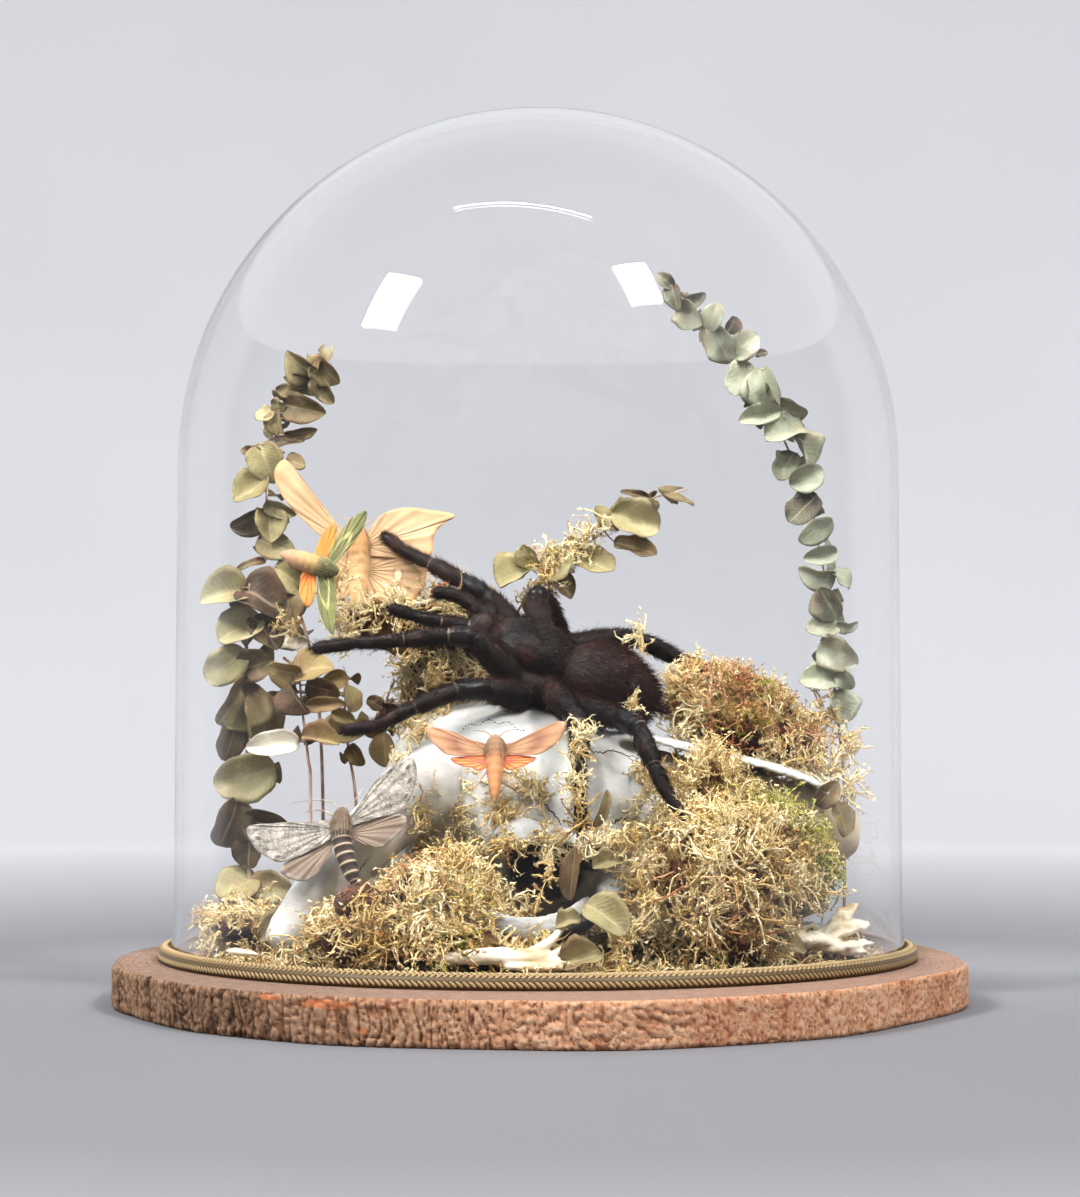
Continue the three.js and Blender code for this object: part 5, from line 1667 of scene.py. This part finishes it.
leaf_finishes = {}
for name, shades in (
    ("leaf_olive", ("ebe4d2", "a39c78", "877e54", "706140", "574930", "3b2f1f")),
    ("leaf_brown", ("ebe4d2", "a99a6c", "8f7b4d", "79623e", "60492d", "3e2e20")),
    ("leaf_sage", ("ebe4d2", "a9ac95", "8a907a", "70735e", "535140", "312f27")),
):
    made, place = finish_of(name, Roughness=0.62, Specular_IOR_Level=0.3)
    rim_share, along, spread = attribute("rim"), attribute("along"), sums("ABSOLUTE", attribute("across"))
    spots = noisy(place, 105.0, 6.0, 0.78)
    # Each leaf's tone darkens it. On the sprigs this is partly painted shade.
    mixed = plus(attribute("tone"), times(sums("SUBTRACT", spots, 0.5), 1.25))
    mixed = plus(mixed, times(sums("SUBTRACT", 0.5, along), 0.18))
    mixed = sums("DIVIDE", plus(mixed, 0.5), 1.5)
    both = ramp(mixed, dict(zip((0.1, 0.24, 0.55, 0.72, 0.86, 1.0), shades)))
    both = blend(times(attribute("side"), 0.3), both, "4d4433")
    both = blend(below(spread, 0.03, 0.09, "888888"), both, "c9b892")
    side_veins = sums("SINE", times(plus(along, times(spread, -0.35)), 62.0))
    both = blend(above(side_veins, 0.9, 1.0, "1c1c1c"), both, "b9a98a")
    both = blend(above(rim_share, 0.86, 1.0, "777777"), both, "6f5a3c")
    rust = plus(noisy(place, 75.0, 6.0, 0.75), times(rim_share, 0.07))
    both = blend(above(rust, 0.52, 0.66, "999999"), both, "7d4a30")
    fleck = below(add("TexVoronoi", Vector=place, Scale=330.0), 0.05, 0.12, "888888")
    both = blend(fleck, both, "4e4130")
    paint("Base Color", both)
    relief((side_veins, 0.2, 0.15), (spots, 0.7, 0.7))
    leaf_finishes[name] = made

twig, place = finish_of("twig_skin", Roughness=0.6)
twig_tone = noisy(place, 120.0, 3.0)
paint("Base Color", ramp(twig_tone, {0.3: "7a5a4a", 0.5: "a58574", 0.7: "c9aba0"}))
relief((twig_tone, 0.4, 0.3))


def leaf_arrays(base, axis, face, length, width, point, fold, curl, twist, tone, wave=(0.0, 0.0)):
    """One closed thin leaf: points, faces, and its side, rim, across, along and tone values."""
    axis, face = unit(np.array(axis, float)), np.array(face, float)
    face = unit(face - axis * (face @ axis))
    flank = np.cross(axis, face)
    rows = 0.5 - 0.5 * np.cos(np.linspace(0, math.pi, LEAF_ROWS))
    along, across = np.meshgrid(rows, np.linspace(-1, 1, LEAF_COLUMNS), indexing="ij")
    shape = np.sqrt(np.clip(1 - (2 * along - 1) ** 2, 0, 1)) ** (0.85 + 0.6 * point * along)
    shape = shape * (1 - 0.35 * point * (along - 0.45)) + 0.02
    x = along * length
    shape = shape * (1 + 0.07 * np.sin(along * 13 + wave[1]) * np.cos(across * 1.5 + wave[1]))
    y = across * shape * width / 2
    z = fold * np.abs(y) ** 1.5 / np.sqrt(width) - curl * length * (along - 0.35) ** 2
    z = z + twist * y * (along - 0.5) + 0.45 * fold * np.abs(y)
    z = z + wave[0] * np.sin(along * 9 + wave[1]) * across ** 2 * np.sign(across + 0.01)
    z = z + 0.045 * width * np.sin(along * 11 + 2 * wave[1]) * np.sin(across * 4 + wave[1]) * shape
    top = base + x[..., None] * axis + y[..., None] * flank + z[..., None] * face
    bottom = top - face * 0.34
    count = along.size
    upper_faces = grid_faces(LEAF_ROWS, LEAF_COLUMNS, wrap=False)
    lower_faces = upper_faces[:, ::-1] + count
    index = np.arange(count).reshape(LEAF_ROWS, LEAF_COLUMNS)
    loop = np.concatenate([index[:, 0], index[-1, 1:], index[-2::-1, -1], index[0, -2:0:-1]])
    after = np.roll(loop, -1)
    rim_faces = np.stack([loop, after, after + count, loop + count], 1)
    rim = np.maximum(np.abs(across), np.abs(2 * along - 1) ** 3)
    values = {
        "side": np.concatenate([np.zeros(count), np.ones(count)]),
        "rim": np.tile(rim.ravel(), 2), "across": np.tile(across.ravel(), 2),
        "along": np.tile(along.ravel(), 2), "tone": np.full(2 * count, tone),
    }
    points = np.concatenate([top.reshape(-1, 3), bottom.reshape(-1, 3)])
    return points, np.concatenate([upper_faces, lower_faces, rim_faces]), values


def leaves_piece(name, leaves, finish):
    """One piece from several leaves."""
    points, groups = joined([leaf[:2] for leaf in leaves])
    values = {label: np.concatenate([leaf[2][label] for leaf in leaves]) for label in leaves[0][2]}
    made = from_arrays(name, points, groups, leaf_finishes[finish], **values)
    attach(made, "root")
    return made


VIEWER_WAY = np.array((0.0, -1.0, 0.0))
rng = np.random.default_rng(41)
for name, sprig in SPRIGS.items():
    stem = smooth_path(sprig["stem"], 240)
    ways = unit(np.gradient(stem, axis=0))
    thick = sprig["radius"]
    shown = stem[::6]
    stalks = [tube_arrays([(*p, thick * (1 - 0.55 * k / len(shown))) for k, p in enumerate(shown)], 8, 70)]
    leaves = []

    def hang(centre, axis, face, length, width, tone):
        """One leaf in its place, and the little stalk that joins it to the stem."""
        base = centre - axis * length / 2
        joint = stem[np.argmin(np.linalg.norm(stem - base, axis=1))]
        leaves.append(leaf_arrays(base, axis, face, length, width, sprig["point"], rng.uniform(0.1, 1.1),
                                  rng.uniform(-0.2, 0.8), rng.normal(0, 0.03), tone,
                                  (rng.uniform(0.2, 1.1), rng.uniform(0, 6))))
        way_there = [(*joint, 0.45), (*((joint + base) / 2), 0.36), (*(base + axis * 0.8), 0.3)]
        stalks.append(tube_arrays(way_there, 5, 6))

    for x, z, length, width, pointing, tone in sprig["leaves"]:
        nearest = int(np.argmin((stem[:, 0] - x) ** 2 + (stem[:, 2] - z) ** 2))
        at = stem[nearest]
        lean = rng.uniform(-0.1, 0.35)
        way = math.radians(pointing)
        axis = unit(np.array((math.cos(way), -lean, math.sin(way))))
        tilt = rng.uniform(-0.75, 0.75)
        flank = unit(np.cross(axis, VIEWER_WAY))
        face = unit(np.cross(flank, axis)) * math.cos(tilt) + flank * math.sin(tilt)
        face = face if face[1] < 0 else -face
        centre = np.array((x, at[1] - rng.uniform(1, 3.5), z))
        hang(centre, axis, face, length * 1.15, width * 1.18 / max(0.75, math.cos(tilt)), tone)
        # Its partner points to the back.
        turn = math.radians(180 - pointing + rng.uniform(-30, 30))
        axis = unit(np.array((math.cos(turn) * 0.45, 0.8, math.sin(turn) * 0.3 + 0.1)))
        face = unit(ways[nearest] + np.array((0, 0.4, 0)) + rng.normal(0, 0.35, 3))
        size = max(length * 0.85, width)
        tone = min(1, abs(tone) * 0.5 + rng.uniform(0, 0.5))
        hang(at + axis * size * 0.55, axis, face, size, size * 0.8, tone)
    foliage = leaves_piece(name.replace("eucalyptus", "leaves"), leaves, sprig["finish"])
    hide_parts(name)
    stalk = merged(name.replace("eucalyptus", "stem"), stalks, twig)
    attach(stalk, "root")


# ---------- fallen leaves and loose moss ----------
# Eucalyptus leaves that dropped on the moss, and thin tufts of moss glued on the skull, the sprig
# behind the spider, one of its legs and the foot of the right sprig.

FALLEN = [
    # middle, length, width, the way it points, the way its upper side faces, tone
    ((25, -113, 41), 19, 15, (0.8, -0.3, -0.5), (0.1, -0.8, 0.5), 0.3),
    ((16, -121, 26), 15, 13, (0.9, 0, 0.35), (0, -0.8, 0.6), 0.5),
    ((11, -112, 39), 10, 8, (-0.9, 0.1, -0.2), (0.2, -0.7, 0.6), 0.45),
    ((13, -98, 56), 20, 8, (0.1, 0, 0.95), (-0.5, -0.8, 0), 0.85),
    ((26, -98, 60), 12, 8, (0.9, 0, 0.25), (0, -0.8, 0.5), 0.4),
    ((24, -92, 80), 15, 4.5, (0.35, 0, 0.9), (0.4, -0.8, 0), 0.6),
    ((21, -92, 63), 12, 6, (0.9, 0.1, 0.3), (0.1, -0.6, 0.7), 0.5),
    ((104, -60, 41), 17, 13, (0.9, 0.1, 0.2), (0.1, -0.8, 0.6), 0.55),
    ((94, -78, 27), 15, 10, (-0.9, 0, 0.2), (0, -0.7, 0.7), 0.35),
    ((118, -14, 84), 13, 9, (0.6, -0.2, 0.7), (0.2, -0.9, 0.3), 0.7),
    ((124, -16, 74), 14, 10, (0.3, -0.2, -0.9), (0.3, -0.8, 0.3), 0.6),
    ((-102, -52, 32), 15, 12, (-0.8, -0.3, -0.3), (0.1, -0.8, 0.6), 0.3),
    ((-40, 88, 32), 16, 12, (0.5, 0.6, 0.1), (0, 0.4, 0.9), 0.5),
    ((60, 104, 30), 17, 13, (-0.6, 0.5, 0), (0.1, 0.3, 0.9), 0.4),
    ((10, 112, 28), 15, 11, (0.8, 0.2, 0), (0, 0.2, 0.9), 0.7),
]
rng = np.random.default_rng(61)
fallen = []
for middle, length, width, way, face, tone in FALLEN:
    base = np.array(middle, float) - unit(np.array(way, float)) * length / 2
    fallen.append(leaf_arrays(base, way, face, length, width, 0.3, rng.uniform(0.3, 1.0), rng.uniform(0, 0.5),
                              rng.normal(0, 0.03), tone, (rng.uniform(0.3, 1), rng.uniform(0, 6))))
leaves_piece("fallen_leaves", fallen, "leaf_olive")

# The middle of each tuft and its radius.
TUFTS = [
    (-3, 44, 167, 6), (3, 41, 173, 7), (8, 40, 180, 7), (15, 40, 187, 6), (21, 40, 193, 5),
    (28, 40, 199, 4), (3, 40, 186, 4), (16, -69, 109, 3.2), (14, -73, 101, 2.6), (13, -76, 92, 2.8),
    (15, -77, 83, 2.8), (16, -76, 74, 3.2), (43, 16, 151, 4.5), (38, -36, 118, 3), (120, 8, 119, 8),
    (129, 3, 106, 7), (120, -4, 96, 8), (128, -8, 88, 6), (112, 2, 108, 7), (58, -8, 110, 6),
    (98, -6, 99, 5), (106, -8, 96, 6), (112, -4, 92, 6), (44, -44, 96, 5), (43, -52, 88, 5),
    (5, -97, 57, 1.2), (1, -98, 48, 1.2), (-9, -99, 46, 1.5), (-18, -98, 56, 3), (20, -92, 67, 4),
    (27, -92, 67, 4), (34, -92, 66, 5), (38, -92, 58, 6), (38, -94, 48, 6), (36, -98, 38, 6),
    (30, -104, 32, 6), (-104, -2, 152, 5), (-84, 6, 160, 6), (-78, 2, 150, 6), (-84, 0, 171, 5),
    (-50, -8, 144, 6), (-42, -12, 136, 6),
]
# Places on the skull's near side where moss is stuck, as X and Z seen from the front.
ON_SKULL = [
    (-50, 80), (-44, 78), (-38, 76), (-30, 74), (-24, 72), (-18, 70), (-12, 74), (-16, 84), (-10, 86),
    (-5, 82), (-30, 68), (-38, 66), (-44, 64), (-22, 64), (-10, 66), (-24, 90), (-18, 88), (-12, 90),
    (-6, 88), (-2, 86), (-44, 112), (-40, 116), (-36, 119), (-30, 121), (-24, 122), (-16, 122),
    (-48, 106), (-52, 100), (-17, 60), (-16, 54), (-16, 48), (-14, 43), (-8, 65), (0, 67), (7, 66),
    (14, 63), (38, 80), (40, 72), (37, 62), (42, 88), (34, 56), (-41, 56), (-36, 59), (-30, 62),
    (-26, 66), (-20, 68), (-15, 72), (-10, 75), (-6, 79), (8, 66), (20, 67), (30, 66), (38, 69),
]
roots, ways = [], []
for x, y, z, radius in TUFTS:
    count = round(4 + 4 * radius)
    outward = unit(rng.normal(size=(count, 3)))
    roots.append(np.array((x, y, z)) + outward * radius * rng.uniform(0.2, 0.9, (count, 1)))
    ways.append(outward)
for place in seen_on(skull, ON_SKULL, 0.3):
    roots.append(place + rng.normal(0, 2.8, (14, 3)) * (1, 0.25, 1))
    ways.append(unit(np.tile((0, -0.9, 0.3), (14, 1)) + rng.normal(0, 0.3, (14, 3))))
roots, ways = np.concatenate(roots), np.concatenate(ways)
shape = curly_strands(roots, ways, rng, (6, 15), (0.26, 0.55), (-0.1, 0.5), curl=1.15, stay=1.5)
tangle("moss_tufts", [(roots, shape)], rng, 0.12)
